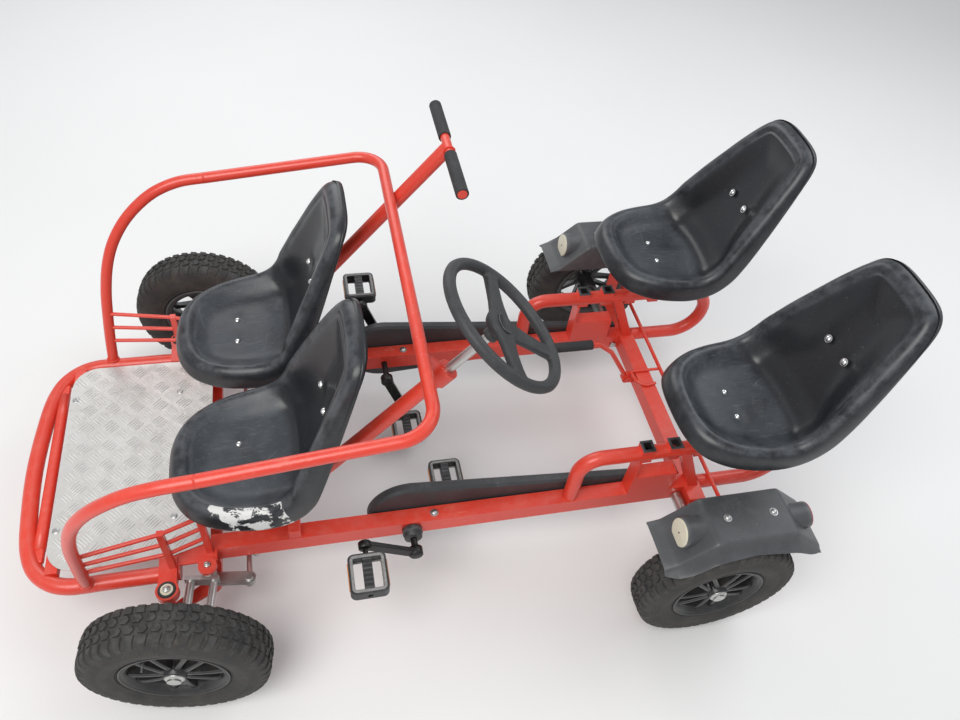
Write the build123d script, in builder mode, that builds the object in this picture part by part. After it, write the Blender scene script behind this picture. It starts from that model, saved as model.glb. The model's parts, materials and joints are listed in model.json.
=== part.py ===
from build123d import *
import os
from math import atan2, cos, degrees, hypot, radians, sin, tan

# Four-seat pedal go-kart, in millimetres. +X points forward, +Y to the driver's left, +Z up.
# The origin is on the ground under the middle of the kart's outer box. The front wheels stand
# turned a little to the right, so the frame's centre plane lies MIDDLE_Y left of that origin.
os.makedirs("parts", exist_ok=True)

# Driving dimensions of the running gear
FRONT_REACH = 1638.0
REAR_REACH = 343.5
REAR_X = (REAR_REACH - FRONT_REACH) / 2
MIDDLE_Y = 4.9
WHEELBASE = 1240.0
STUB_LEAD = 40.0
KINGPIN_X = REAR_X + WHEELBASE - STUB_LEAD
TYRE_R = 200.0
AXLE_Z = TYRE_R
TYRE_WIDTH = 100.0
BEAD_R = 102.0
RIM_FLANGE_R = 114.5
RIM_WIDTH = 84.0
HUB_REACH = 50.0
REAR_TYRE_Y = 542.0
FRONT_TYRE_Y = 532.0
AXLE_R = 10.0
RUN_FIT = 0.05
SEAT_CLEAR = 0.3
STEER_REST = -7.0
KINGPIN_Y = 335.0
KINGPIN_R = 8.0
STEER_ARM = 86.0

# Driving dimensions of the frame
RAIL_Y = 274.0
RAIL_WIDTH = 40.0
RAIL_HEIGHT = 50.0
RAIL_TOP = AXLE_Z + 34.0
RAIL_FRONT_X = KINGPIN_X + 62.0
BEAM_DEPTH = 45.0
BEAM_FRONT_X = REAR_X - 15.0
BEAM_Y = 335.0
LOOP_TUBE_R = 19.0
LOOP_Y = 328.0
LOOP_Z = RAIL_TOP - 22.0
LOOP_FRONT_X = REAR_X + FRONT_REACH - 58.0
LOOP_CORNER_R = 95.0
PLATE_TOP = RAIL_TOP + 3.0
PLATE_THICK = 3.0
GUARD_TUBE_R = 13.5
HOOP_TUBE_R = 19.0
HOOP_TOP_Z = RAIL_TOP + 161.0
HOOP_LOW_Z = RAIL_TOP - 16.0
HOOP_FRONT_X = REAR_X + 302.0
HOOP_REAR_X = REAR_X - 278.0

# Driving dimensions of the seats, cranks and steering
FRONT_SEAT = (KINGPIN_X - 109.0, 195.0, RAIL_TOP + 228.0, -1.0)
REAR_SEAT = (REAR_X - 38.0, 272.0, HOOP_TOP_Z + 176.0, 5.0)
CRANK_X = REAR_X + 717.0
CRANK_Z = RAIL_TOP - 29.0
CRANK_LENGTH = 145.0
CRANK_ARM_Y = 86.0
CRANK_ARM_THICK = 12.0
SPINDLE_R = 8.5
PEDAL_PIN_R = 6.0
COLUMN_ANGLE = 50.0
COLUMN_Y = 237.0
COLUMN_TOP = (KINGPIN_X - 547.0, RAIL_TOP + 516.0)
GUARD_Y = (438.0, 563.0)
BRAKE_Y = -112.0
BRAKE_EYE = (REAR_X + 6.0, RAIL_TOP - 26.0)
BRAKE_EYE_WIDTH = 20.0
SHAFT_R = 10.0
POST_R = 17.0
HANDLE_ANGLE = 51.0
SIDES = (("left", 1), ("right", -1))


def bent_line(points, radii):
    """Straight runs through the points, joined at each inner point by an arc of its radius."""
    points = [Vector(*p) for p in points]
    start = points[0]
    for before, corner, after, radius in zip(points, points[1:], points[2:], radii):
        back = (before - corner).normalized()
        ahead = (after - corner).normalized()
        half = radians(back.get_angle(ahead)) / 2
        enter = corner + back * (radius / tan(half))
        leave = corner + ahead * (radius / tan(half))
        inward = (back + ahead).normalized()
        middle = corner + inward * (radius / sin(half) - radius)
        Line(start, enter)
        ThreePointArc(enter, middle, leave)
        start = leave
    Line(start, points[-1])


def bent_tube(points, radii, radius):
    """Add a round bar that follows the bent line."""
    with BuildLine() as path:
        bent_line(points, radii)
    start = Plane(origin=path.line @ 0, z_dir=path.line % 0)
    with BuildSketch(start) as ring:
        Circle(radius)
    sweep(sections=ring.sketch, path=path.line)


def bar(start, end, radius):
    """Add a straight round bar between two points."""
    start = Vector(*start)
    span = Vector(*end) - start
    with BuildSketch(Plane(origin=start, z_dir=span.normalized())) as ring:
        Circle(radius)
    extrude(ring.sketch, amount=span.length)


def block(low, high, mode=Mode.ADD):
    """Add or cut a box between two corners."""
    centre = [(a + b) / 2 for a, b in zip(low, high)]
    with Locations(Location(tuple(centre))):
        Box(*[b - a for a, b in zip(low, high)], mode=mode)


def drum(x, z, y_from, y_to, radius, mode=Mode.ADD):
    """Add or cut a cylinder whose axis lies along Y."""
    low, high = min(y_from, y_to), max(y_from, y_to)
    with BuildSketch(Plane(origin=(x, low, z), x_dir=(1, 0, 0), z_dir=(0, 1, 0))) as ring:
        Circle(radius)
    extrude(ring.sketch, amount=high - low, mode=mode)


def save(piece, name):
    """Label a finished piece, write its STEP file and return the piece in the frame's plane."""
    centred = piece.part
    piece.part = centred.moved(Location((0, MIDDLE_Y, 0)))
    piece.part.label = name
    export_step(piece.part, f"parts/{name}.step")
    piece.part = centred
    return centred


# Main rails, one rectangular tube along each side, bored for the crank spindle and rear axle
RAIL_LOW = RAIL_TOP - RAIL_HEIGHT
rails = {}
for side, s in SIDES:
    with BuildPart() as rail:
        near = s * RAIL_Y - RAIL_WIDTH / 2
        block((BEAM_FRONT_X, near, RAIL_LOW), (RAIL_FRONT_X, near + RAIL_WIDTH, RAIL_TOP))
        drum(REAR_X, AXLE_Z, near, near + RAIL_WIDTH, AXLE_R + RUN_FIT, Mode.SUBTRACT)
        drum(CRANK_X, CRANK_Z, near, near + RAIL_WIDTH, SPINDLE_R + RUN_FIT, Mode.SUBTRACT)
    rails[side] = save(rail, f"rail_{side}")

# Rear cross beam behind the rails, with the sheet arms that carry the mudguards
BEAM_REAR_X = BEAM_FRONT_X - BEAM_DEPTH
ARM_X = BEAM_FRONT_X - BEAM_DEPTH / 2
ARM_HALF = 18.0
ARM_SHEET = 6.0
ARM_Y = (GUARD_Y[0] - SEAT_CLEAR - ARM_SHEET, GUARD_Y[0] - SEAT_CLEAR)
ARM_Z = (RAIL_TOP - 20.0, AXLE_Z + TYRE_R + 20.0)
EAR_GAP = BRAKE_EYE_WIDTH / 2 + SEAT_CLEAR
EAR_SHEET = 4.0
EAR_REACH = 9.0
with BuildPart() as rear_beam:
    block((BEAM_REAR_X, -BEAM_Y, RAIL_LOW), (BEAM_FRONT_X, BEAM_Y, RAIL_TOP))
    for side, s in SIDES:
        inner, outer = sorted((s * BEAM_Y, s * ARM_Y[1]))
        block((ARM_X - ARM_HALF, inner, ARM_Z[0]), (ARM_X + ARM_HALF, outer, ARM_Z[0] + ARM_SHEET))
        inner, outer = sorted((s * ARM_Y[0], s * ARM_Y[1]))
        block((ARM_X - ARM_HALF, inner, ARM_Z[0]), (ARM_X + ARM_HALF, outer, ARM_Z[1]))
        inner, outer = sorted((BRAKE_Y + s * EAR_GAP, BRAKE_Y + s * (EAR_GAP + EAR_SHEET)))
        block((BEAM_FRONT_X, inner, BRAKE_EYE[1] - EAR_REACH),
              (BRAKE_EYE[0] + EAR_REACH, outer, BRAKE_EYE[1] + EAR_REACH))
save(rear_beam, "rear_beam")

# Platform frame: bent loop, cross member with bushed ends, kingpin gussets and bumper tube
CROSS_WIDTH = 40.0
CROSS_LOW = RAIL_TOP - 38.0
BEARER_WIDTH = 30.0
PLATE_FRONT_X = LOOP_FRONT_X - 28.0
PLATE_BEARER_X = PLATE_FRONT_X - 12.0
PLATE_Y = 300.0
PLATE_LOW = PLATE_TOP - PLATE_THICK
BUMPER_X = FRONT_REACH + REAR_X - LOOP_TUBE_R
BUMPER_BEND_Y = 205.0
BUMPER_END_Y = 300.0
BUMPER_BEND_R = 90.0
BUSH_X = KINGPIN_X + 86.0
BUSH_Y = 382.0
BUSH_OUTER_R = 25.0
BUSH_BORE_R = 20.0
BUSH_LOW = RAIL_TOP - 18.0
BUSH_TOP = RAIL_TOP + 6.0
GUSSET_LOW = RAIL_TOP - 5.0
GUSSET_Y = 322.0
BOSS_R = 21.0
BOSS_TOP = RAIL_TOP + 6.0
loop_rear = RAIL_FRONT_X
with BuildPart() as platform_frame:
    loop_points = [
        (loop_rear, LOOP_Y, LOOP_Z),
        (LOOP_FRONT_X, LOOP_Y, LOOP_Z),
        (LOOP_FRONT_X, -LOOP_Y, LOOP_Z),
        (loop_rear, -LOOP_Y, LOOP_Z),
    ]
    bent_tube(loop_points, [LOOP_CORNER_R] * 2, LOOP_TUBE_R)
    block((loop_rear, -LOOP_Y, CROSS_LOW), (loop_rear + CROSS_WIDTH, LOOP_Y, PLATE_LOW))
    x = PLATE_BEARER_X
    reach = LOOP_Y - LOOP_TUBE_R / 2
    block((x - BEARER_WIDTH / 2, -reach, LOOP_Z), (x + BEARER_WIDTH / 2, reach, PLATE_LOW))
    bumper_points = [
        (LOOP_FRONT_X - LOOP_TUBE_R, BUMPER_END_Y, LOOP_Z),
        (BUMPER_X, BUMPER_BEND_Y, LOOP_Z),
        (BUMPER_X, -BUMPER_BEND_Y, LOOP_Z),
        (LOOP_FRONT_X - LOOP_TUBE_R, -BUMPER_END_Y, LOOP_Z),
    ]
    bent_tube(bumper_points, [BUMPER_BEND_R] * 2, LOOP_TUBE_R)
    for side, s in SIDES:
        inner, outer = sorted((s * (PLATE_Y + 1), s * BUSH_Y))
        block((BUSH_X - CROSS_WIDTH / 2, inner, BUSH_LOW), (BUSH_X + CROSS_WIDTH / 2, outer, BUSH_TOP))
        with Locations((BUSH_X, s * BUSH_Y, (BUSH_LOW + BUSH_TOP) / 2)):
            Cylinder(BUSH_OUTER_R, BUSH_TOP - BUSH_LOW)
            Cylinder(BUSH_BORE_R, BUSH_TOP - BUSH_LOW, mode=Mode.SUBTRACT)
        inner, outer = sorted((s * (RAIL_Y + RAIL_WIDTH / 2), s * GUSSET_Y))
        block((KINGPIN_X - BOSS_R, inner, GUSSET_LOW), (loop_rear, outer, RAIL_TOP))
        with Locations((KINGPIN_X, s * KINGPIN_Y, (GUSSET_LOW + BOSS_TOP) / 2)):
            Cylinder(BOSS_R, BOSS_TOP - GUSSET_LOW)
            Cylinder(KINGPIN_R, BOSS_TOP - GUSSET_LOW, mode=Mode.SUBTRACT)
save(platform_frame, "platform_frame")

# Aluminium tread plate, rounded in front and narrowed behind
PLATE_REAR_X = KINGPIN_X - 6.0
PLATE_TAPER_X = BUSH_X
PLATE_TAPER_Y = 272.0
PLATE_CORNER_R = 62.0
with BuildPart() as tread_plate:
    with BuildSketch(Plane.XY.offset(PLATE_LOW)):
        with BuildLine():
            Polyline((PLATE_REAR_X, PLATE_TAPER_Y), (PLATE_TAPER_X, PLATE_Y), (PLATE_FRONT_X, PLATE_Y),
                     (PLATE_FRONT_X, -PLATE_Y), (PLATE_TAPER_X, -PLATE_Y),
                     (PLATE_REAR_X, -PLATE_TAPER_Y), close=True)
        outline = make_face()
        fillet(outline.vertices().group_by(Axis.X)[-1], PLATE_CORNER_R)
    extrude(amount=PLATE_THICK)
save(tread_plate, "tread_plate")

# Guard rail: one bent tube from the platform sides, up and back round the front seats
GUARD_FOOT = (LOOP_FRONT_X - 118.0, LOOP_Y + 3, LOOP_Z)
GUARD_SHOULDER = (LOOP_FRONT_X - 142.0, 372.0, RAIL_TOP + 254.0)
GUARD_HIP = (KINGPIN_X - 2.0, 438.0, RAIL_TOP + 508.0)
GUARD_BACK = (KINGPIN_X - 489.0, 434.0, RAIL_TOP + 570.0)
GUARD_RADII = (120.0, 150.0, 70.0)


def mirrored(point):
    """The point on the other side of the frame's centre plane."""
    return (point[0], -point[1], point[2])


def guard_leg(z):
    """The point at a height on the centre line of the guard rail's left leg."""
    share = (z - GUARD_FOOT[2]) / (GUARD_SHOULDER[2] - GUARD_FOOT[2])
    return [low + (high - low) * share for low, high in zip(GUARD_FOOT, GUARD_SHOULDER)]


guard_half = [GUARD_FOOT, GUARD_SHOULDER, GUARD_HIP, GUARD_BACK]
guard_points = guard_half + [mirrored(p) for p in reversed(guard_half)]
with BuildPart() as guard_rail:
    bent_tube(guard_points, GUARD_RADII + GUARD_RADII[::-1], GUARD_TUBE_R)
    add(platform_frame.part, mode=Mode.SUBTRACT)
save(guard_rail, "guard_rail")

# Side fences: three bars on each side of the platform, from the guard leg back to two uprights
FENCE_BARS_Z = (RAIL_TOP + 64.0, RAIL_TOP + 109.0, RAIL_TOP + 154.0)
FENCE_BAR_R = 5.0
FENCE_KINK_X = BUSH_X - 11.0
FENCE_REAR_X = KINGPIN_X - 5.0
FENCE_REAR_Y = 296.0
FENCE_FLAT = 14.0
for side, s in SIDES:
    y = s * (LOOP_Y - 3)
    rear_y = s * FENCE_REAR_Y
    with BuildPart() as fence:
        for z in FENCE_BARS_Z:
            leg_x, leg_y = guard_leg(z)[:2]
            leg = (leg_x, s * leg_y, z)
            bent_tube([(FENCE_REAR_X, rear_y, z), (FENCE_KINK_X, y, z), leg], [30], FENCE_BAR_R)
        top = FENCE_BARS_Z[-1] + FENCE_BAR_R
        half = FENCE_FLAT / 2
        block((FENCE_KINK_X - half, y - half, BUSH_TOP), (FENCE_KINK_X + half, y + half, top))
        block((FENCE_REAR_X - half, rear_y - half, RAIL_TOP), (FENCE_REAR_X + half, rear_y + half, top))
        add(guard_rail.part, mode=Mode.SUBTRACT)
        add(tread_plate.part, mode=Mode.SUBTRACT)
    keep = fence.part.solids().sort_by(SortBy.VOLUME)[-1]
    fence.part = Part([keep])
    save(fence, f"side_fence_{side}")

# Steering tube beside the left rail, with the bearing housing at its upper end
column_up = (-cos(radians(COLUMN_ANGLE)), sin(radians(COLUMN_ANGLE)))


def on_column(distance, reach=0.0):
    """A point at a distance up the steering axis, and at a reach to its lower rear side."""
    x = COLUMN_TOP[0] + column_up[0] * distance - column_up[1] * reach
    z = COLUMN_TOP[1] + column_up[1] * distance + column_up[0] * reach
    return (x, COLUMN_Y, z)


HOUSING_R = 23.5
HOUSING_LENGTH = 38.0
TUBE_FOOT_Z = RAIL_TOP - 29.0
TAB_THICK = 8.0
tube_length = (COLUMN_TOP[1] - TUBE_FOOT_Z) / column_up[1]
with BuildPart() as steering_tube:
    bar(on_column(-tube_length), on_column(0), POST_R)
    bar(on_column(-HOUSING_LENGTH), on_column(0), HOUSING_R)
    with BuildSketch(Plane.XZ.offset(-COLUMN_Y - TAB_THICK / 2)):
        with BuildLine():
            low = on_column(-HOUSING_LENGTH)
            high = on_column(0)
            Polyline((low[0], low[2]), (GUARD_BACK[0] + 8, GUARD_BACK[2]),
                     (GUARD_BACK[0] - 8, GUARD_BACK[2]), (high[0], high[2]), close=True)
        make_face()
    extrude(amount=TAB_THICK)
    bore = tube_length + 1
    with BuildSketch(Plane(origin=on_column(-bore), z_dir=(column_up[0], 0, column_up[1]))):
        Circle(SHAFT_R + RUN_FIT)
    extrude(amount=bore + HOUSING_R, mode=Mode.SUBTRACT)
    add(guard_rail.part, mode=Mode.SUBTRACT)
    add(rails["left"], mode=Mode.SUBTRACT)
save(steering_tube, "steering_tube")

# Handle post on the right rail, with the cross bar that the right rear rider holds
HANDLE_BAR_R = 11.0
HANDLE_TOP = (KINGPIN_X - 625.0, RAIL_TOP + 692.0)
HANDLE_BAR_Y = (-452.0, -99.0)
FOOT_TRIM = 60.0
post_drop = HANDLE_TOP[1] - RAIL_TOP + POST_R
post_foot_x = HANDLE_TOP[0] + post_drop / tan(radians(HANDLE_ANGLE))
with BuildPart() as handle_post:
    bar((post_foot_x, -RAIL_Y, HANDLE_TOP[1] - post_drop), (HANDLE_TOP[0], -RAIL_Y, HANDLE_TOP[1]), POST_R)
    drum(HANDLE_TOP[0], HANDLE_TOP[1], *HANDLE_BAR_Y, HANDLE_BAR_R)
    add(guard_rail.part, mode=Mode.SUBTRACT)
    block((post_foot_x - FOOT_TRIM, -RAIL_Y - FOOT_TRIM, RAIL_LOW - FOOT_TRIM),
          (post_foot_x + FOOT_TRIM, -RAIL_Y + FOOT_TRIM, RAIL_TOP), Mode.SUBTRACT)
save(handle_post, "handle_post")

# Cross rod of the handbrake behind the beam, which lies over the two seat hoops
BRAKE_ROD_X = REAR_X - 92.0
BRAKE_ROD_R = 5.5
BRAKE_ROD_Z = HOOP_LOW_Z + HOOP_TUBE_R + BRAKE_ROD_R + SEAT_CLEAR
BRAKE_ROD_Y = 460.0
with BuildPart() as brake_rod:
    drum(BRAKE_ROD_X, BRAKE_ROD_Z, -BRAKE_ROD_Y, BRAKE_ROD_Y, BRAKE_ROD_R)
save(brake_rod, "brake_rod")

# Handbrake lever, its hinge eye in front of the beam and the rods that run back over the beam
BRAKE_BAR_R = 7.0
BRAKE_GRIP_X = (REAR_X + 150.0, REAR_X + 272.0)
BRAKE_GRIP_Z = RAIL_TOP + 138.0
BRAKE_KNEE = (REAR_X + 81.0, RAIL_TOP + 96.0)
EYE_R = 15.0
PULL_R = 4.5
PULL_Z = RAIL_TOP + PULL_R + SEAT_CLEAR
HOOK_BACK = (6.0, 32.0, 62.0)
HOOK_SIDE = (44.0, 62.0, 56.0)
with BuildPart() as handbrake:
    lever = [
        (BRAKE_EYE[0], BRAKE_Y, BRAKE_EYE[1]),
        (BRAKE_KNEE[0], BRAKE_Y, BRAKE_KNEE[1]),
        (BRAKE_GRIP_X[0] - 20, BRAKE_Y, BRAKE_GRIP_Z),
        (BRAKE_GRIP_X[1], BRAKE_Y, BRAKE_GRIP_Z),
    ]
    bent_tube(lever, [30, 20], BRAKE_BAR_R)
    drum(BRAKE_EYE[0], BRAKE_EYE[1], BRAKE_Y - BRAKE_EYE_WIDTH / 2, BRAKE_Y + BRAKE_EYE_WIDTH / 2, EYE_R)
    pull_y = BRAKE_Y + PULL_R
    pull_x = BRAKE_EYE[0] - PULL_R
    pull = [(pull_x, pull_y, BRAKE_EYE[1] + 6), (pull_x, pull_y, PULL_Z), (BRAKE_ROD_X, pull_y, PULL_Z)]
    bent_tube(pull, [12], PULL_R)
    hook = [(pull_x, pull_y, PULL_Z)]
    hook += [(pull_x - back, BRAKE_Y + aside, PULL_Z) for back, aside in zip(HOOK_BACK, HOOK_SIDE)]
    bent_tube(hook, [14, 10], PULL_R)
    add(rear_beam.part, mode=Mode.SUBTRACT)
    add(brake_rod.part, mode=Mode.SUBTRACT)
save(handbrake, "handbrake")

# Foam hand grips: two on the handle bar and one on the handbrake
GRIP_R = 15.0
HANDLE_GRIPS_Y = ((-452.0, -315.0), (-245.0, -99.0))
with BuildPart() as hand_grips:
    for low, high in HANDLE_GRIPS_Y:
        drum(HANDLE_TOP[0], HANDLE_TOP[1], low, high, GRIP_R)
        drum(HANDLE_TOP[0], HANDLE_TOP[1], low, high, HANDLE_BAR_R + RUN_FIT, Mode.SUBTRACT)
    with BuildSketch(Plane.YZ.offset(BRAKE_GRIP_X[0])):
        with Locations((BRAKE_Y, BRAKE_GRIP_Z)):
            Circle(GRIP_R - 1)
            Circle(BRAKE_BAR_R + RUN_FIT, mode=Mode.SUBTRACT)
    extrude(amount=BRAKE_GRIP_X[1] - BRAKE_GRIP_X[0])
save(hand_grips, "hand_grips")

# Seat hoops: a bent tube in each rail's plane with square sockets for the seat legs
SOCKET_X = tuple(REAR_X + x for x in (136.0, 62.0, -12.0, -86.0))
SOCKET_OUT = 32.0
SOCKET_BORE = 24.0
SOCKET_TOP = HOOP_TOP_Z + 27.0
SOCKET_LOW = HOOP_TOP_Z - 21.0
HOOP_BEND_R = 58.0
BOX_X = (REAR_X + 29.0, REAR_X + 150.0)
BOX_TOP = RAIL_TOP + 76.0
BOX_WALL = 6.0
STRUT_FOOT_X = REAR_X - 40.0
STRUT_HEAD_X = REAR_X + 30.0
STRUT_HALF = 14.0
hoop_turn = (HOOP_TOP_Z - HOOP_LOW_Z) / 2 - 2
hoops = {}
for side, s in SIDES:
    y = s * RAIL_Y
    with BuildPart() as hoop:
        route = [
            (HOOP_FRONT_X, y, RAIL_TOP),
            (HOOP_FRONT_X, y, HOOP_TOP_Z),
            (HOOP_REAR_X, y, HOOP_TOP_Z),
            (HOOP_REAR_X, y, HOOP_LOW_Z),
            (BEAM_REAR_X, y, HOOP_LOW_Z),
        ]
        bent_tube(route, [HOOP_BEND_R, hoop_turn, hoop_turn], HOOP_TUBE_R)
        half = SOCKET_OUT / 2
        for x in SOCKET_X:
            block((x - half, y - half, SOCKET_LOW), (x + half, y + half, SOCKET_TOP))
        half = SOCKET_BORE / 2
        for x in SOCKET_X:
            block((x - half, y - half, SOCKET_LOW), (x + half, y + half, SOCKET_TOP), Mode.SUBTRACT)
        half = RAIL_WIDTH / 2
        block((BOX_X[0], y - half, RAIL_TOP), (BOX_X[1], y + half, BOX_TOP))
        block((BOX_X[1] - BOX_WALL, y - half, RAIL_TOP), (BOX_X[1], y + half, SOCKET_LOW))
        with BuildSketch(Plane.XZ.offset(-y - half)):
            with BuildLine():
                Polyline((STRUT_FOOT_X - STRUT_HALF, RAIL_TOP), (STRUT_FOOT_X + STRUT_HALF, RAIL_TOP),
                         (STRUT_HEAD_X + STRUT_HALF, HOOP_TOP_Z), (STRUT_HEAD_X - STRUT_HALF, HOOP_TOP_Z),
                         close=True)
            make_face()
        extrude(amount=RAIL_WIDTH)
    hoops[side] = save(hoop, f"seat_hoop_{side}")

# Plastic inserts in the two open sockets of each hoop
INSERT_COLLAR = 3.0
INSERT_DEPTH = 22.0
INSERT_HOLE = 19.0
with BuildPart() as socket_inserts:
    for side, s in SIDES:
        for x in SOCKET_X[:2]:
            y = s * RAIL_Y
            half = SOCKET_BORE / 2
            block((x - half, y - half, SOCKET_TOP - INSERT_DEPTH), (x + half, y + half, SOCKET_TOP))
            half = SOCKET_OUT / 2 + 1
            block((x - half, y - half, SOCKET_TOP), (x + half, y + half, SOCKET_TOP + INSERT_COLLAR))
            half = INSERT_HOLE / 2
            block((x - half, y - half, SOCKET_TOP - INSERT_DEPTH),
                  (x + half, y + half, SOCKET_TOP + INSERT_COLLAR), Mode.SUBTRACT)
save(socket_inserts, "socket_inserts")

# Front axle under the rails, with both kingpins and the arms that hang from the bushes
AXLE_LOW = AXLE_Z - 66.0
AXLE_TOP = AXLE_Z - 42.0
AXLE_WIDTH = 40.0
ARM_PLATE = 8.0
BUSH_BOLT_R = 7.0
with BuildPart() as front_axle:
    half = AXLE_WIDTH / 2
    block((KINGPIN_X - half, -KINGPIN_Y, AXLE_LOW), (KINGPIN_X + half, KINGPIN_Y, AXLE_TOP))
    for side, s in SIDES:
        y = s * RAIL_Y
        block((KINGPIN_X - half, y - half, AXLE_TOP), (KINGPIN_X + half, y + half, RAIL_LOW))
        with Locations((KINGPIN_X, s * KINGPIN_Y, (AXLE_LOW + AXLE_TOP) / 2)):
            Cylinder(half, AXLE_TOP - AXLE_LOW)
        with Locations((KINGPIN_X, s * KINGPIN_Y, (AXLE_TOP + BOSS_TOP) / 2)):
            Cylinder(KINGPIN_R, BOSS_TOP - AXLE_TOP)
        with BuildSketch(Plane.XY.offset(AXLE_LOW)):
            with BuildLine():
                Polyline((KINGPIN_X, s * (KINGPIN_Y - half)), (BUSH_X, s * (BUSH_Y - 14)),
                         (BUSH_X, s * (BUSH_Y + 14)), (KINGPIN_X, s * (KINGPIN_Y + half)), close=True)
            make_face()
            with Locations((BUSH_X, s * BUSH_Y)):
                Circle(14)
        extrude(amount=ARM_PLATE)
        with Locations((BUSH_X, s * BUSH_Y, (AXLE_LOW + ARM_PLATE + BUSH_TOP) / 2)):
            Cylinder(BUSH_BOLT_R, BUSH_TOP - AXLE_LOW - ARM_PLATE)
save(front_axle, "front_axle")

# Rubber bushes round the two bolts
with BuildPart() as axle_bushes:
    for side, s in SIDES:
        with Locations((BUSH_X, s * BUSH_Y, (BUSH_LOW + BUSH_TOP) / 2 + 1)):
            Cylinder(BUSH_BORE_R - RUN_FIT, BUSH_TOP - BUSH_LOW + 2)
            Cylinder(BUSH_BOLT_R + RUN_FIT, BUSH_TOP - BUSH_LOW + 2, mode=Mode.SUBTRACT)
save(axle_bushes, "axle_bushes")

# Steering knuckles, drawn straight in their own frame and turned to the stored steering angle
BARREL_R = 15.0
BARREL_LOW = AXLE_TOP + 0.5
BARREL_TOP = GUSSET_LOW - 0.5
CARRIER_Y = (13.0, 23.0)
END_PLATE_Y = (132.0, 140.0)
BRACE_X = -12.0
BRACE_R = 9.0
CARRIER_HALF = 16.0
STEER_PLATE_LOW = AXLE_Z - 36.0
STEER_PLATE_TOP = AXLE_Z - 28.0
STEER_PLATE_WIDTH = 32.0
TIE_Z = AXLE_Z - 45.0
TIE_R = 7.0
TIE_PIN_R = 5.0
TIE_EYE_R = 13.0
STUB_END = FRONT_TYRE_Y - KINGPIN_Y + RIM_WIDTH / 2 + 10
HUB_INNER = FRONT_TYRE_Y - KINGPIN_Y - HUB_REACH
knuckles = {}
for side, s in SIDES:
    turned = Plane(origin=(KINGPIN_X, s * KINGPIN_Y, 0)).rotated((0, 0, STEER_REST))
    with BuildPart(turned) as knuckle:
        with Locations((0, 0, (BARREL_LOW + BARREL_TOP) / 2)):
            Cylinder(BARREL_R, BARREL_TOP - BARREL_LOW)
        plates = (
            (BRACE_X - 12, STUB_LEAD + 12, *CARRIER_Y, AXLE_Z - CARRIER_HALF, AXLE_Z + CARRIER_HALF),
            (BRACE_X - 12, STUB_LEAD + 12, *END_PLATE_Y, AXLE_Z - CARRIER_HALF, AXLE_Z + CARRIER_HALF),
            (-STEER_ARM, 0, -STEER_PLATE_WIDTH / 2, STEER_PLATE_WIDTH / 2, STEER_PLATE_LOW, STEER_PLATE_TOP),
        )
        for x1, x2, y1, y2, z1, z2 in plates:
            with Locations(((x1 + x2) / 2, s * (y1 + y2) / 2, (z1 + z2) / 2)):
                Box(x2 - x1, y2 - y1, z2 - z1)
        with Locations((-STEER_ARM, 0, (STEER_PLATE_LOW + STEER_PLATE_TOP) / 2)):
            Cylinder(STEER_PLATE_WIDTH / 2, STEER_PLATE_TOP - STEER_PLATE_LOW)
        with Locations((-STEER_ARM, 0, (TIE_Z - TIE_R - 4 + STEER_PLATE_TOP + 7) / 2)):
            Cylinder(TIE_PIN_R, STEER_PLATE_TOP + 7 - TIE_Z + TIE_R + 4)
        with Locations((-STEER_ARM, 0, STEER_PLATE_TOP + 3.5)):
            Cylinder(9, 7)
        rods = (
            (STUB_LEAD, CARRIER_Y[1], STUB_END, SHAFT_R),
            (STUB_LEAD, END_PLATE_Y[1], HUB_INNER - 0.3, 15.0),
            (BRACE_X, CARRIER_Y[1], END_PLATE_Y[0], BRACE_R),
            (STUB_LEAD, STUB_END - 8, STUB_END, 15.0),
        )
        for x, y1, y2, radius in rods:
            with Locations((x, s * (y1 + y2) / 2, AXLE_Z)):
                Cylinder(radius, y2 - y1, rotation=(90, 0, 0))
        with Locations((0, 0, (BARREL_LOW + BARREL_TOP) / 2)):
            Cylinder(KINGPIN_R + RUN_FIT, BARREL_TOP - BARREL_LOW, mode=Mode.SUBTRACT)
    knuckles[side] = save(knuckle, f"knuckle_{side}")

# Tie rod between the two steering arms, with the peg that the drop arm moves
steer = radians(STEER_REST)
arm_tip = (KINGPIN_X - STEER_ARM * cos(steer), -STEER_ARM * sin(steer))
STEER_RATIO = 1.8
DROP_ARM = 46.0
DROP_ANGLE = STEER_REST * STEER_RATIO
DROP_THICK = 6.0
DROP_GAP = 11.0
DROP_WIDTH = 26.0
DROP_SLOT = (14.0, 26.0)
DROP_SLOT_OUT = 50.0
PEG_R = 4.0
PEG_LUG = 8.0
along_column = hypot(arm_tip[0] - COLUMN_TOP[0], TIE_Z - COLUMN_TOP[1])
lean = atan2(COLUMN_TOP[1] - TIE_Z, arm_tip[0] - COLUMN_TOP[0]) - radians(COLUMN_ANGLE)
tie_depth = along_column * cos(lean)
tie_reach = along_column * sin(lean)
drop_depth = tie_depth + TIE_R + DROP_GAP + DROP_THICK


def column_plane(distance):
    """A plane across the steering axis, with its local x toward the lower rear side."""
    reach_way = (-column_up[1], 0, column_up[0])
    return Plane(origin=on_column(distance), x_dir=reach_way, z_dir=(column_up[0], 0, column_up[1]))


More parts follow.
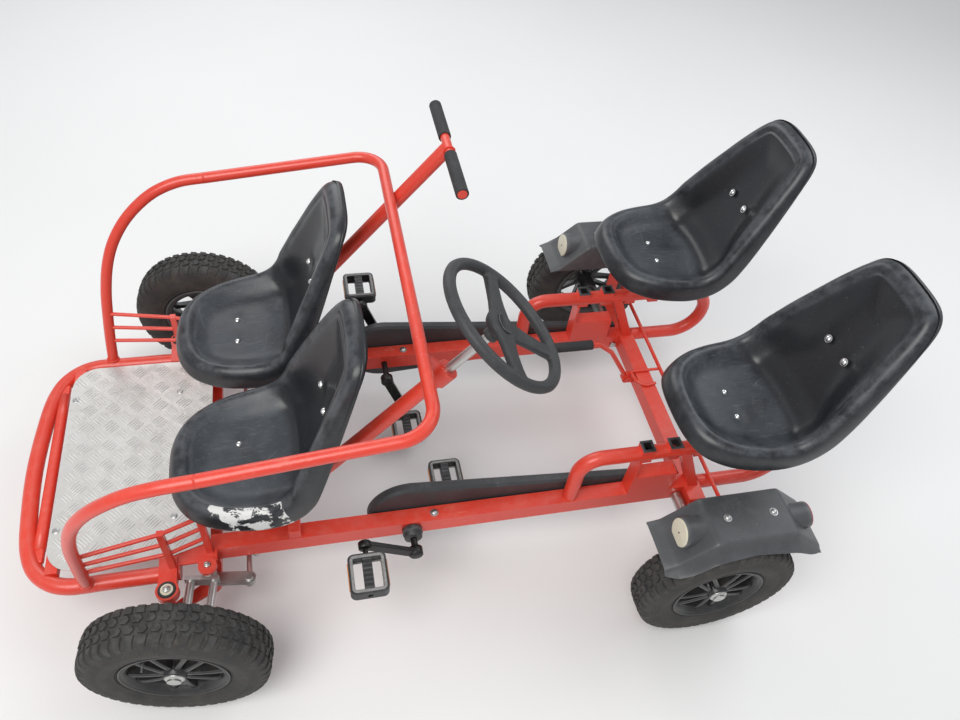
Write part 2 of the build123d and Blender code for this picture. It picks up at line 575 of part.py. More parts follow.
peg_reach = DROP_ARM * cos(radians(DROP_ANGLE))
with BuildPart() as tie_rod:
    drum(arm_tip[0], TIE_Z, arm_tip[1] - KINGPIN_Y, arm_tip[1] + KINGPIN_Y, TIE_R)
    for side, s in SIDES:
        with Locations((arm_tip[0], arm_tip[1] + s * KINGPIN_Y, TIE_Z)):
            Cylinder(TIE_EYE_R, 2 * TIE_R)
    with BuildSketch(column_plane(-tie_depth - PEG_LUG / 2)):
        with Locations(((tie_reach + peg_reach + PEG_LUG) / 2, -arm_tip[1])):
            Rectangle(peg_reach + PEG_LUG - tie_reach, 2 * PEG_LUG)
    extrude(amount=PEG_LUG)
    with BuildSketch(column_plane(-tie_depth)):
        with Locations((peg_reach, -arm_tip[1])):
            Circle(PEG_R)
    extrude(amount=-TIE_R - DROP_GAP - 2 * DROP_THICK)
    for side, s in SIDES:
        with Locations((arm_tip[0], arm_tip[1] + s * KINGPIN_Y, TIE_Z)):
            Cylinder(TIE_PIN_R + RUN_FIT, 2 * TIE_R, mode=Mode.SUBTRACT)
save(tie_rod, "tie_rod")

# Steering column: shaft, drop arm with a slot for the peg, and the wheel's boss
WHEEL_HUB = 149.0
with BuildPart() as steering_column:
    bar(on_column(-drop_depth), on_column(WHEEL_HUB - 14), SHAFT_R)
    swing = radians(-DROP_ANGLE)
    reach = DROP_SLOT_OUT + DROP_SLOT[1] / 2
    with BuildSketch(column_plane(-drop_depth)):
        with Locations((reach / 2 * cos(swing), -reach / 2 * sin(swing))):
            SlotCenterToCenter(reach, DROP_WIDTH, rotation=DROP_ANGLE)
        with Locations((DROP_SLOT_OUT * cos(swing), -DROP_SLOT_OUT * sin(swing))):
            SlotOverall(DROP_SLOT[1], DROP_SLOT[0], rotation=DROP_ANGLE, mode=Mode.SUBTRACT)
    extrude(amount=DROP_THICK)
save(steering_column, "steering_column")

# Steering wheel: padded rim, two spokes across it, a third toward the rear and a plain recess
WHEEL_RIM_R = 147.0
WHEEL_TUBE_R = 12.5
WHEEL_RISE = 8.0
WHEEL_BOSS_R = 40.0
SPOKE_THICK = 12.0
SPOKE_HALF = (26.0, 15.0)
SPOKE_TURNS = (88.0, 270.0, 356.0)
RECESS = (24.0, 15.0)
RECESS_DEPTH = 3.0
column_axis = Axis(on_column(0), (column_up[0], 0, column_up[1]))
with BuildPart() as steering_wheel:
    rim_centre = on_column(WHEEL_HUB + WHEEL_RISE, WHEEL_RIM_R)
    with BuildSketch(Plane(origin=rim_centre, x_dir=(1, 0, 0), z_dir=(0, -1, 0))):
        Circle(WHEEL_TUBE_R)
    revolve(axis=column_axis, revolution_arc=360)
    with BuildSketch(column_plane(WHEEL_HUB - SPOKE_THICK / 2)):
        Circle(WHEEL_BOSS_R)
        for turn in SPOKE_TURNS:
            with Locations(Location((0, 0, 0), (0, 0, turn))):
                Polygon((0, -SPOKE_HALF[0]), (WHEEL_RIM_R, -SPOKE_HALF[1]),
                        (WHEEL_RIM_R, SPOKE_HALF[1]), (0, SPOKE_HALF[0]), align=None)
    extrude(amount=SPOKE_THICK)
    with BuildSketch(column_plane(WHEEL_HUB + SPOKE_THICK / 2)):
        Ellipse(*RECESS, rotation=90)
    extrude(amount=-RECESS_DEPTH, mode=Mode.SUBTRACT)
    with BuildSketch(column_plane(WHEEL_HUB - 14)):
        Circle(WHEEL_BOSS_R - 6)
    extrude(amount=14)
    with BuildSketch(column_plane(WHEEL_HUB - 14)):
        Circle(SHAFT_R + 6)
    extrude(amount=-20)
    with BuildSketch(column_plane(WHEEL_HUB - 34)):
        Circle(SHAFT_R + RUN_FIT)
    extrude(amount=20, mode=Mode.SUBTRACT)
save(steering_wheel, "steering_wheel")

# Wheels: the same tyre and rim at four corners, each on its own axle line
TYRE_HALF = TYRE_WIDTH / 2
FLANGE = 3.0
RIM_INNER_R = 96.0
HUB_R = 24.0
SPOKE_PAIRS = 5
SPOKE_DISC = (12.0, 24.0)
WINDOW_R = (36.0, 50.0, 88.0)
WIDE_HALF = (7.0, 26.0)
NARROW_HALF = (2.5, 10.0)


def corner(front, s):
    """The wheel's centre and the direction of its axle, pointing outward."""
    if not front:
        return Vector(REAR_X, s * REAR_TYRE_Y, AXLE_Z), Vector(0, s, 0)
    out = Vector(-s * sin(steer), s * cos(steer), 0)
    ahead = Vector(cos(steer), sin(steer), 0)
    pin = Vector(KINGPIN_X, s * KINGPIN_Y, AXLE_Z)
    return pin + ahead * STUB_LEAD + out * (FRONT_TYRE_Y - KINGPIN_Y), out


def axle_section(centre, out):
    """A plane through the axle, with its local x outward and its local y up."""
    return Plane(origin=centre, x_dir=out, z_dir=out.cross(Vector(0, 0, 1)))


for end, front in (("front", True), ("rear", False)):
    for side, s in SIDES:
        centre, out = corner(front, s)
        axle = Axis(centre, out)
        with BuildPart() as tyre:
            with BuildSketch(axle_section(centre, out)):
                with BuildLine():
                    seat = RIM_WIDTH / 2 - FLANGE - 0.5
                    Line((-seat, BEAD_R), (seat, BEAD_R))
                    for flip in (1, -1):
                        Line((flip * seat, BEAD_R), (flip * seat, RIM_FLANGE_R + 3))
                        ThreePointArc((flip * seat, RIM_FLANGE_R + 3), (flip * TYRE_HALF, TYRE_R - 50),
                                      (flip * (TYRE_HALF - 5), TYRE_R - 16))
                        ThreePointArc((flip * (TYRE_HALF - 5), TYRE_R - 16),
                                      (flip * (TYRE_HALF - 8), TYRE_R - 7.5),
                                      (flip * (TYRE_HALF - 14), TYRE_R - 3))
                    ThreePointArc((TYRE_HALF - 14, TYRE_R - 3), (0, TYRE_R), (14 - TYRE_HALF, TYRE_R - 3))
                make_face()
            revolve(axis=axle)
        save(tyre, f"tyre_{end}_{side}")
        with BuildPart() as rim:
            with BuildSketch(axle_section(centre, out)):
                with BuildLine():
                    lip = RIM_WIDTH / 2
                    seat = lip - FLANGE
                    Polyline((-lip, RIM_INNER_R), (-lip, RIM_FLANGE_R), (-seat, RIM_FLANGE_R),
                             (-seat, BEAD_R - RUN_FIT), (seat, BEAD_R - RUN_FIT), (seat, RIM_FLANGE_R),
                             (lip, RIM_FLANGE_R), (lip, RIM_INNER_R), close=True)
                make_face()
            revolve(axis=axle)
            disc = Plane(origin=centre + out * SPOKE_DISC[0], x_dir=(0, 0, 1), z_dir=out)
            with BuildSketch(disc):
                Circle(RIM_INNER_R + 2)
                for first, start, (near, far) in ((0, WINDOW_R[0], WIDE_HALF),
                                                  (180 / SPOKE_PAIRS, WINDOW_R[1], NARROW_HALF)):
                    with PolarLocations(0, SPOKE_PAIRS, start_angle=first):
                        Polygon((start, -near), (WINDOW_R[2], -far), (WINDOW_R[2], far), (start, near),
                                align=None, mode=Mode.SUBTRACT)
            extrude(amount=SPOKE_DISC[1] - SPOKE_DISC[0])
            hub = Plane(origin=centre - out * HUB_REACH, x_dir=(0, 0, 1), z_dir=out)
            with BuildSketch(hub):
                Circle(HUB_R)
            extrude(amount=HUB_REACH + RIM_WIDTH / 2 + 1.5)
            with BuildSketch(hub):
                Circle(AXLE_R + RUN_FIT)
            extrude(amount=HUB_REACH + RIM_WIDTH, mode=Mode.SUBTRACT)
        save(rim, f"rim_{end}_{side}")

# Rear half axles, each from its wheel nut through the rail to its chain wheel
CASE_OFFSET = -38.0
CASE_THICK = 28.0
CASE_WALL = 8.0
NUT_R = 15.0
SLEEVE_R = 15.0
SLEEVE_GAP = 1.5
for side, s in SIDES:
    case_y = s * RAIL_Y + CASE_OFFSET
    inner_y = case_y - CASE_THICK / 2 + CASE_WALL if s > 0 else -RAIL_Y + RAIL_WIDTH / 2 + 6
    outer_y = s * (REAR_TYRE_Y + RIM_WIDTH / 2 + 10)
    with BuildPart() as half_axle:
        drum(REAR_X, AXLE_Z, inner_y, outer_y, AXLE_R)
        drum(REAR_X, AXLE_Z, outer_y - s * 8, outer_y, NUT_R)
        case_side = 0 if s > 0 else CASE_THICK / 2 - CASE_OFFSET - RAIL_WIDTH / 2
        sleeve_from = RAIL_Y + RAIL_WIDTH / 2 + case_side + SLEEVE_GAP
        drum(REAR_X, AXLE_Z, s * sleeve_from, s * (REAR_TYRE_Y - HUB_REACH), SLEEVE_R)
    save(half_axle, f"half_axle_{side}")

# Chain cases on one side of each rail, round the crank's and the axle's chain wheels
CASE_FRONT_R = 105.0
CASE_REAR_R = 36.0
CASE_BORE_GAP = 3.0
CASE_FILLET = 6.0
for side, s in SIDES:
    low = s * RAIL_Y + CASE_OFFSET - CASE_THICK / 2
    with BuildPart() as case:
        with BuildSketch(Plane(origin=(0, low, 0), x_dir=(1, 0, 0), z_dir=(0, -1, 0))):
            with Locations((CRANK_X, CRANK_Z)):
                Circle(CASE_FRONT_R)
            with Locations((REAR_X, AXLE_Z)):
                Circle(CASE_REAR_R)
            make_hull()
        extrude(amount=-CASE_THICK)
        chamfer(case.edges().filter_by(GeomType.CIRCLE), CASE_FILLET)
        drum(CRANK_X, CRANK_Z, low, low + CASE_THICK, SPINDLE_R + CASE_BORE_GAP, Mode.SUBTRACT)
        start = low + CASE_WALL - 2 if s > 0 else low
        drum(REAR_X, AXLE_Z, start, low + CASE_THICK, AXLE_R + CASE_BORE_GAP, Mode.SUBTRACT)
        add(rear_beam.part, mode=Mode.SUBTRACT)
    save(case, f"chain_case_{side}")

# Cranks: spindle through the rail, two opposite arms and the pedal pins
CRANK_TURNS = {"left": 31.0, "right": 69.0}
ARM_WIDTH = 26.0
PEDAL_WIDTH = 100.0
PEDAL_LENGTH = 88.0
PEDAL_THICK = 28.0
PEDAL_GAP = 20.0
PEDAL_CORNER = 14.0
PEDAL_BARREL_R = 11.0
PEDAL_FRAME = 9.0
for side, s in SIDES:
    with BuildPart() as crank:
        near = s * RAIL_Y - CRANK_ARM_Y
        far = s * RAIL_Y + CRANK_ARM_Y
        drum(CRANK_X, CRANK_Z, near, far, SPINDLE_R)
        places = []
        for place, arm_y, turn in (("outer", s * CRANK_ARM_Y, 0.0), ("inner", -s * CRANK_ARM_Y, 180.0)):
            way = radians(CRANK_TURNS[side] + turn)
            y = s * RAIL_Y + arm_y
            facing = 1 if arm_y > 0 else -1
            with BuildSketch(Plane(origin=(CRANK_X, y - CRANK_ARM_THICK / 2, CRANK_Z), x_dir=(1, 0, 0),
                                   z_dir=(0, -1, 0))):
                with Locations((CRANK_LENGTH / 2 * cos(way), CRANK_LENGTH / 2 * sin(way))):
                    SlotCenterToCenter(CRANK_LENGTH, ARM_WIDTH, rotation=degrees(way))
            extrude(amount=-CRANK_ARM_THICK)
            eye = (CRANK_X + CRANK_LENGTH * cos(way), CRANK_Z + CRANK_LENGTH * sin(way))
            pin_end = y + facing * (CRANK_ARM_THICK / 2 + PEDAL_GAP + PEDAL_WIDTH - 4)
            drum(eye[0], eye[1], y, pin_end, PEDAL_PIN_R)
            places.append((place, eye, y + facing * (CRANK_ARM_THICK / 2 + PEDAL_GAP + PEDAL_WIDTH / 2)))
    save(crank, f"crank_{side}")
    for place, eye, y in places:
        with BuildPart() as pedal:
            with BuildSketch(Plane.XY.offset(eye[1] - PEDAL_THICK / 2)):
                with Locations((eye[0], y)):
                    RectangleRounded(PEDAL_LENGTH, PEDAL_WIDTH, PEDAL_CORNER)
                    window = (PEDAL_LENGTH / 2 - PEDAL_FRAME - PEDAL_BARREL_R)
                    for shift in (1, -1):
                        with Locations((shift * (PEDAL_BARREL_R + window / 2), 0)):
                            Rectangle(window, PEDAL_WIDTH - 2 * PEDAL_FRAME, mode=Mode.SUBTRACT)
            extrude(amount=PEDAL_THICK)
            drum(eye[0], eye[1], y - PEDAL_WIDTH / 2, y + PEDAL_WIDTH / 2, PEDAL_PIN_R + RUN_FIT,
                 Mode.SUBTRACT)
        save(pedal, f"pedal_{side}_{place}")

# Seats: double-walled buckets lofted through sections along the middle line of pan and back.
# Columns: forward and up from the pan bolts, half width, rise of the sides, slope of the line,
# height of the outer skirt and depth of the underside.
SEAT_RIM = 20.0
SKIRT_DRAFT = 4.0
SEAT_LINE = (
    (146.0, 12.0, 46.0, 10.0, 20.0, 44.0, 38.0),
    (116.0, 2.0, 106.0, 18.0, 12.0, 54.0, 34.0),
    (48.0, -4.0, 148.0, 26.0, 3.0, 60.0, 28.0),
    (-44.0, -2.0, 158.0, 32.0, -4.0, 62.0, 24.0),
    (-108.0, 16.0, 159.0, 44.0, -28.0, 62.0, 20.0),
    (-156.0, 80.0, 154.0, 50.0, -62.0, 60.0, 16.0),
    (-190.0, 170.0, 141.0, 44.0, -72.0, 50.0, 14.0),
    (-226.0, 276.0, 118.0, 30.0, -74.0, 38.0, 12.0),
    (-256.0, 364.0, 88.0, 14.0, -74.0, 24.0, 12.0),
    (-262.0, 382.0, 44.0, 6.0, -74.0, 16.0, 12.0),
)


def seat_place(seat, ahead, up, drop, slope):
    """A point of a seat's middle plane, moved by a drop square to the seat's line."""
    way = radians(slope)
    ahead += drop * sin(way)
    up -= drop * cos(way)
    lean = radians(seat[3])
    return (seat[0] + ahead * cos(lean) - up * sin(lean), seat[2] + ahead * sin(lean) + up * cos(lean))


def seat_shell(seat, s):
    """One bucket as a ruled loft of sections with a dished top, a flat rim and a steep skirt."""
    with BuildPart() as shell:
        for ahead, up, half, rise, slope, skirt, deep in SEAT_LINE:
            x, z = seat_place(seat, ahead, up, 0, slope)
            way = radians(slope + seat[3])
            across = Plane(origin=(x, s * seat[1], z), x_dir=(0, 1, 0), z_dir=(cos(way), 0, sin(way)))
            outer = half + SEAT_RIM
            foot = (outer - SKIRT_DRAFT, rise - skirt)
            with BuildSketch(across):
                with BuildLine():
                    ThreePointArc((-half, rise), (-0.85 * half, 0.35 * rise), (-half / 2, 0.05 * rise))
                    ThreePointArc((-half / 2, 0.05 * rise), (0, 0), (half / 2, 0.05 * rise))
                    ThreePointArc((half / 2, 0.05 * rise), (0.85 * half, 0.35 * rise), (half, rise))
                    Line((half, rise), (outer, rise))
                    Line((outer, rise), foot)
                    ThreePointArc(foot, (0, -deep), (-foot[0], foot[1]))
                    Line((-foot[0], foot[1]), (-outer, rise))
                    Line((-outer, rise), (-half, rise))
                make_face()
        loft(ruled=True)
    return shell


for end, seat in (("front", FRONT_SEAT), ("rear", REAR_SEAT)):
    for side, s in SIDES:
        save(seat_shell(seat, s), f"seat_{end}_{side}")

# Seat brackets: a bent steel strap under each seat on legs, which stand in the rear sockets
# or on a tube across the rails in front
STRAP_GAP = 0.4
STRAP_THICK = 6.0
STRAP_WIDTH = 60.0
STRAP_ROWS = (2, 7)
LEG = 23.8
LEG_DEPTH = 44.0
SEAT_TUBE_X = FRONT_SEAT[0] - 91.0
SEAT_TUBE_SIDE = 30.0


def strap(seat, s):
    """Add the bent strap that follows the outside of a seat's middle line."""
    rows = SEAT_LINE[STRAP_ROWS[0]:STRAP_ROWS[1]]
    upper = [seat_place(seat, row[0], row[1], row[6] + STRAP_GAP, row[4]) for row in rows]
    lower = [seat_place(seat, row[0], row[1], row[6] + STRAP_GAP + STRAP_THICK, row[4]) for row in rows]
    with BuildSketch(Plane.XZ.offset(-s * seat[1] - STRAP_WIDTH / 2)) as side_view:
        with BuildLine() as outline:
            Polyline(*upper, *reversed(lower), close=True)
        make_face(outline.edges())
    extrude(side_view.sketch, amount=STRAP_WIDTH)


def strap_height(seat, x):
    """The height inside the strap's thickness at x."""
    middle = STRAP_GAP + STRAP_THICK / 2
    rows = [seat_place(seat, row[0], row[1], row[6] + middle, row[4]) for row in SEAT_LINE]
    for front, back in zip(rows, rows[1:]):
        if back[0] <= x <= front[0]:
            share = (front[0] - x) / (front[0] - back[0])
            return front[1] + (back[1] - front[1]) * share
    return rows[0][1]


def leg_top(seat, x):
    """The height at which a leg at x ends inside the strap."""
    return min(strap_height(seat, x - LEG / 2), strap_height(seat, x + LEG / 2))


with BuildPart() as rear_brackets:
    for side, s in SIDES:
        strap(REAR_SEAT, s)
        for x in SOCKET_X[2:]:
            y = s * RAIL_Y
            half = LEG / 2
            top = leg_top(REAR_SEAT, x)
            block((x - half, y - half, SOCKET_TOP - LEG_DEPTH), (x + half, y + half, top))
save(rear_brackets, "seat_brackets_rear")
with BuildPart() as front_brackets:
    for side, s in SIDES:
        strap(FRONT_SEAT, s)
        half = LEG / 2
        y = s * FRONT_SEAT[1]
        top = leg_top(FRONT_SEAT, SEAT_TUBE_X)
        block((SEAT_TUBE_X - half, y - half, RAIL_TOP + SEAT_TUBE_SIDE), (SEAT_TUBE_X + half, y + half, top))
save(front_brackets, "seat_brackets_front")
with BuildPart() as seat_tube:
    half = SEAT_TUBE_SIDE / 2
    outer = RAIL_Y + RAIL_WIDTH / 2
    block((SEAT_TUBE_X - half, -outer, RAIL_TOP), (SEAT_TUBE_X + half, outer, RAIL_TOP + SEAT_TUBE_SIDE))
save(seat_tube, "seat_cross_tube")

# Mudguards over the rear wheels: a folded top, a side wall toward the frame, a flared outer
# skirt and a round lamp pod on each sloping end
GUARD_TOP_Z = AXLE_Z + TYRE_R + 40.0
GUARD_LINE = (
    (REAR_X + TYRE_R - 50.0, GUARD_TOP_Z - 90.0),
    (REAR_X + TYRE_R - 127.0, GUARD_TOP_Z),
    (REAR_X - TYRE_R + 72.0, GUARD_TOP_Z),
    (REAR_X - TYRE_R - 22.0, GUARD_TOP_Z - 84.0),
)
GUARD_WALL = 4.0
SKIRT_TOP_X = (GUARD_LINE[0][0], GUARD_LINE[1][0], REAR_X - 23.0, GUARD_LINE[2][0], GUARD_LINE[3][0])
SKIRT_SHIFT_X = (3.0, 2.0, 0.0, -6.0, -6.0)
SKIRT_OUT = (17.0, 25.0, 25.0, 25.0, 21.0)
SKIRT_DROP = (4.0, 44.0, 26.0, 40.0, 12.0)
POD_R = 36.0
POD_TILT = 6.5
POD_Z = GUARD_TOP_Z - POD_R - 2.0
POD_ENDS = {"front": (REAR_X + 70.0, REAR_X + 133.0), "rear": (REAR_X - 136.0, REAR_X - 197.0)}
LENS_R = 33.0
LENS_THICK = 5.0
LAMP_Y = 501.0


def line_height(x):
    """The height of the mudguard's folded top at x."""
    for front, back in zip(GUARD_LINE, GUARD_LINE[1:]):
        if back[0] <= x <= front[0]:
            return front[1] + (back[1] - front[1]) * (front[0] - x) / (front[0] - back[0])


def top_section(lowered):
    """The outline of the folded top seen from the side, lowered, down to its two ends."""
    return [(x, z - lowered) for x, z in GUARD_LINE]


def pod_plane(end, y, out):
    """A plane across a lamp pod's axis at a distance inside its outer end."""
    start, stop = POD_ENDS[end]
    way = 1 if stop > start else -1
    tilt = radians(POD_TILT)
    return Plane(origin=(stop, y, POD_Z), x_dir=(0, 1, 0), z_dir=(way * cos(tilt), 0, sin(tilt))).offset(out)


def cut_below(lowered, y_from, y_to):
    """Cut away all that lies under the folded top."""
    under = top_section(lowered)
    with BuildSketch(Plane.XZ.offset(-y_to)) as side_view:
        with BuildLine() as outline:
            Polyline(*under, (under[-1][0], AXLE_Z), (under[0][0], AXLE_Z), close=True)
        make_face(outline.edges())
    extrude(side_view.sketch, amount=y_to - y_from, mode=Mode.SUBTRACT)


for side, s in SIDES:
    with BuildPart() as skirt:
        for x, shift, out, drop in zip(SKIRT_TOP_X, SKIRT_SHIFT_X, SKIRT_OUT, SKIRT_DROP):
            top = Vector(x, s * GUARD_Y[1], line_height(x) - GUARD_WALL / 4)
            low = Vector(x + shift, s * (GUARD_Y[1] + out), line_height(x) - drop - GUARD_WALL / 4)
            inward = Vector(0, -s * GUARD_WALL, 0)
            across = Plane(origin=top, x_dir=low - top, z_dir=(low - top).cross(inward))
            length = (low - top).length
            aside = (inward.dot(across.x_dir), inward.dot(across.y_dir))
            with BuildSketch(across):
                with BuildLine():
                    Polyline((0, 0), (length, 0), (length + aside[0], aside[1]), aside, close=True)
                make_face()
        loft(ruled=True)
    with BuildPart() as pods:
        for end, (start, stop) in POD_ENDS.items():
            with BuildSketch(pod_plane(end, s * LAMP_Y, 0)):
                Circle(POD_R)
            extrude(amount=-abs(stop - start))
        cut_below(GUARD_WALL / 2, s * LAMP_Y - POD_R, s * LAMP_Y + POD_R)
    with BuildPart() as mudguard:
        low, high = sorted((s * GUARD_Y[0], s * GUARD_Y[1]))
        with BuildSketch(Plane.XZ.offset(-high)):
            with BuildLine():
                Polyline(*top_section(0), *reversed(top_section(GUARD_WALL)), close=True)
            make_face()
        extrude(amount=high - low)
        wall_y = low if s > 0 else high - GUARD_WALL
        with BuildSketch(Plane.XZ.offset(-wall_y - GUARD_WALL)):
            with BuildLine():
                Polyline(*top_section(0), close=True)
            make_face()
        extrude(amount=GUARD_WALL)
        add(skirt.part)
        add(pods.part)
    save(mudguard, f"mudguard_{side}")
for end in POD_ENDS:
    with BuildPart() as lamps:
        for side, s in SIDES:
            with BuildSketch(pod_plane(end, s * LAMP_Y, 0)):
                Circle(LENS_R)
            extrude(amount=LENS_THICK)
        cut_below(0, -LAMP_Y - POD_R, LAMP_Y + POD_R)
    save(lamps, f"{end}_lamps")
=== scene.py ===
"""Looks of the four-seat pedal go-kart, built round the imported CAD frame."""
import json
from itertools import product
from math import cos, hypot, pi, radians, sin

import bmesh
import bpy
from mathutils import Matrix, Vector

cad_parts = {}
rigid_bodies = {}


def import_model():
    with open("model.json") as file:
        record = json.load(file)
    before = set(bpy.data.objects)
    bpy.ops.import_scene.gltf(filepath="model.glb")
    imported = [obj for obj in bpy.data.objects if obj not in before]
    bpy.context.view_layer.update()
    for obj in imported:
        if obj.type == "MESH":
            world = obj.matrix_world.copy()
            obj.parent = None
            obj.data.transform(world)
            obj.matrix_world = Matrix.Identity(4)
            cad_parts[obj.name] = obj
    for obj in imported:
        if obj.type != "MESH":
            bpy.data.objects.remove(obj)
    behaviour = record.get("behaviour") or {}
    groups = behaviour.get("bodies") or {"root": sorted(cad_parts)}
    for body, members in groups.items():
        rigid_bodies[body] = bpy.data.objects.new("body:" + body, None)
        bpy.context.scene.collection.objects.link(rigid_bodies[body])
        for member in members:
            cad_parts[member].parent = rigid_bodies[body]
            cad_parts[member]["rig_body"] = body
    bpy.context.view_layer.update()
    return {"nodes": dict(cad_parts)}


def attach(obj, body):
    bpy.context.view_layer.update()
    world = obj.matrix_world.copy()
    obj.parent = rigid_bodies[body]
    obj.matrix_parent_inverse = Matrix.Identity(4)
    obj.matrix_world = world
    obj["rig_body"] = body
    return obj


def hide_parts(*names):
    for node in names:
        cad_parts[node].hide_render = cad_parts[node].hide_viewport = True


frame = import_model()

# Places in the kart: millimetres forward of the rear axle, left of the middle plane and up
REAR_AXLE_X = -647.25
MIDDLE_Y = 4.9
SIDES = (("left", 1), ("right", -1))
CORNERS = [(end, side, s) for end in ("front", "rear") for side, s in SIDES]
RAIL_Y = 274.0


def at(x, y, z):
    """A kart place as a point of the frame, in metres."""
    return Vector(((REAR_AXLE_X + x) / 1000, (y + MIDDLE_Y) / 1000, z / 1000))


# Finishes: every finish is a node tree, written as arithmetic on its sockets
def maths(operation, reflected=False):
    """An operator of a stream, which adds one Math node."""
    def apply(self, other):
        values = {0: other, 1: self} if reflected else {0: self, 1: other}
        return self.finish.add("ShaderNodeMath", {"operation": operation}, values)
    return apply


class Stream:
    """One socket of a finish. Arithmetic on it adds Math nodes."""

    __add__ = __radd__ = maths("ADD")
    __sub__, __rsub__ = maths("SUBTRACT"), maths("SUBTRACT", True)
    __mul__ = __rmul__ = maths("MULTIPLY")
    __pow__ = maths("POWER")

    def __init__(self, finish, socket):
        self.finish = finish
        self.socket = socket

    def clip(self):
        return self.finish.add("ShaderNodeMath", {"operation": "ADD", "use_clamp": True}, {0: self, 1: 0.0})

    def sine(self):
        return self.finish.add("ShaderNodeMath", {"operation": "SINE"}, {0: self})

    def step(self, low, high):
        """0 below low, 1 above high and a smooth rise between them."""
        settings = {"interpolation_type": "SMOOTHSTEP"}
        return self.finish.add("ShaderNodeMapRange", settings, {0: self, 1: low, 2: high, 3: 0.0, 4: 1.0})


class Finish:
    """A material with its node tree, place coordinates and one shader."""

    def __init__(self, name, **fixed):
        self.material = bpy.data.materials.new(name)
        self.material.use_nodes = True
        self.tree = self.material.node_tree
        self.tree.nodes.clear()
        self.shader = self.tree.nodes.new("ShaderNodeBsdfPrincipled")
        out = self.tree.nodes.new("ShaderNodeOutputMaterial")
        self.tree.links.new(self.shader.outputs[0], out.inputs[0])
        for socket, value in fixed.items():
            self.shader.inputs[socket.replace("_", " ")].default_value = value
        self.coordinates = self.tree.nodes.new("ShaderNodeTexCoord")
        self.place = Stream(self, self.coordinates.outputs["Object"])

    def add(self, kind, settings=None, values=None, out=0):
        """Add a node: its settings first, then the values or links of its sockets."""
        node = self.tree.nodes.new(kind)
        for key, setting in (settings or {}).items():
            setattr(node, key, setting)
        for key, value in (values or {}).items():
            socket = node.inputs[key]
            if isinstance(value, Stream):
                self.tree.links.new(value.socket, socket)
            elif isinstance(value, tuple) and len(value) == 3 and socket.type == "RGBA":
                socket.default_value = (*value, 1.0)
            else:
                socket.default_value = value
        return Stream(self, node.outputs[out])

    def stretched(self, scale, turn):
        return self.add("ShaderNodeMapping", None, {0: self.place, "Rotation": turn, "Scale": scale})

    def noise(self, scale, detail=3.0, rough=0.55, warp=0.0, where=None):
        values = {"Vector": where or self.place, "Scale": scale, "Detail": detail, "Roughness": rough,
                  "Distortion": warp}
        return self.add("ShaderNodeTexNoise", None, values)

    def cells(self, scale, feature="F1"):
        return self.add("ShaderNodeTexVoronoi", {"feature": feature}, {"Vector": self.place, "Scale": scale})

    def scratches(self, scale, turn, limit):
        """Thin lines in one direction, where a stretched noise peaks."""
        lines = self.noise(scale, 2.0, 0.6, 0.3, self.stretched((1, 14, 14), turn))
        return lines.step(limit, limit + 0.05)

    def attribute(self, name):
        return self.add("ShaderNodeAttribute", {"attribute_name": name}, None, "Fac")

    def upward(self):
        """How far the surface faces the sky, 0 to 1."""
        normal = Stream(self, self.coordinates.outputs["Normal"])
        return self.add("ShaderNodeSeparateXYZ", None, {0: normal}, 2).clip()

    def edge(self, low, high):
        """Worn outer edges."""
        point = self.add("ShaderNodeNewGeometry", None, None, "Pointiness")
        return point.step(low, high)

    def base(self, share, first, second):
        """Start the colour as a mix of two."""
        self.colour = self.add("ShaderNodeMix", {"data_type": "RGBA"}, {0: share, 6: first, 7: second}, 2)

    def over(self, share, colour):
        """Lay another colour over it."""
        self.base(share, self.colour, colour)

    def bump(self, height, strength, distance):
        values = {"Strength": strength, "Distance": distance, "Height": height}
        return self.add("ShaderNodeBump", None, values)

    def done(self, rough, normal, metal=None):
        """Join the colour and the rest to the shader."""
        links = {"Base Color": self.colour, "Roughness": rough, "Normal": normal, "Metallic": metal}
        for socket, value in links.items():
            if isinstance(value, Stream):
                self.tree.links.new(value.socket, self.shader.inputs[socket])
            elif value is not None:
                self.shader.inputs[socket].default_value = value
        return self.material


def red_enamel():
    f = Finish("red_enamel", Coat_Weight=0.25, Coat_Roughness=0.18)
    fade = f.noise(3.5, 3.0, 0.5)
    f.base(fade, (0.62, 0.034, 0.018), (0.78, 0.062, 0.032))
    chalk = f.noise(22.0, 4.0, 0.65).step(0.52, 0.78) * f.upward()
    f.over(chalk * 0.28, (0.80, 0.20, 0.13))
    scuff = f.scratches(26.0, (0.3, 0.2, 0.9), 0.66) + f.scratches(34.0, (1.2, 0.7, 2.0), 0.69)
    patch = f.noise(6.0, 3.0, 0.6).step(0.50, 0.62)
    f.over((scuff * patch).clip() * 0.55, (0.80, 0.36, 0.28))
    chip = f.noise(95.0, 3.0, 0.6).step(0.715, 0.74) * f.noise(9.0, 2.0, 0.5).step(0.50, 0.60)
    f.over(chip.clip(), (0.20, 0.085, 0.05))
    dust = f.noise(40.0, 5.0, 0.7).step(0.35, 0.9) * f.upward() ** 2.0
    f.over(dust * 0.14, (0.55, 0.45, 0.38))
    rough = 0.30 + fade * 0.10 + chalk * 0.18 + dust * 0.15 + chip * 0.3
    peel = f.noise(260.0, 2.0, 0.5)
    normal = f.bump(peel - chip * 2.0, 0.12, 0.0006)
    return f.done(rough, normal)


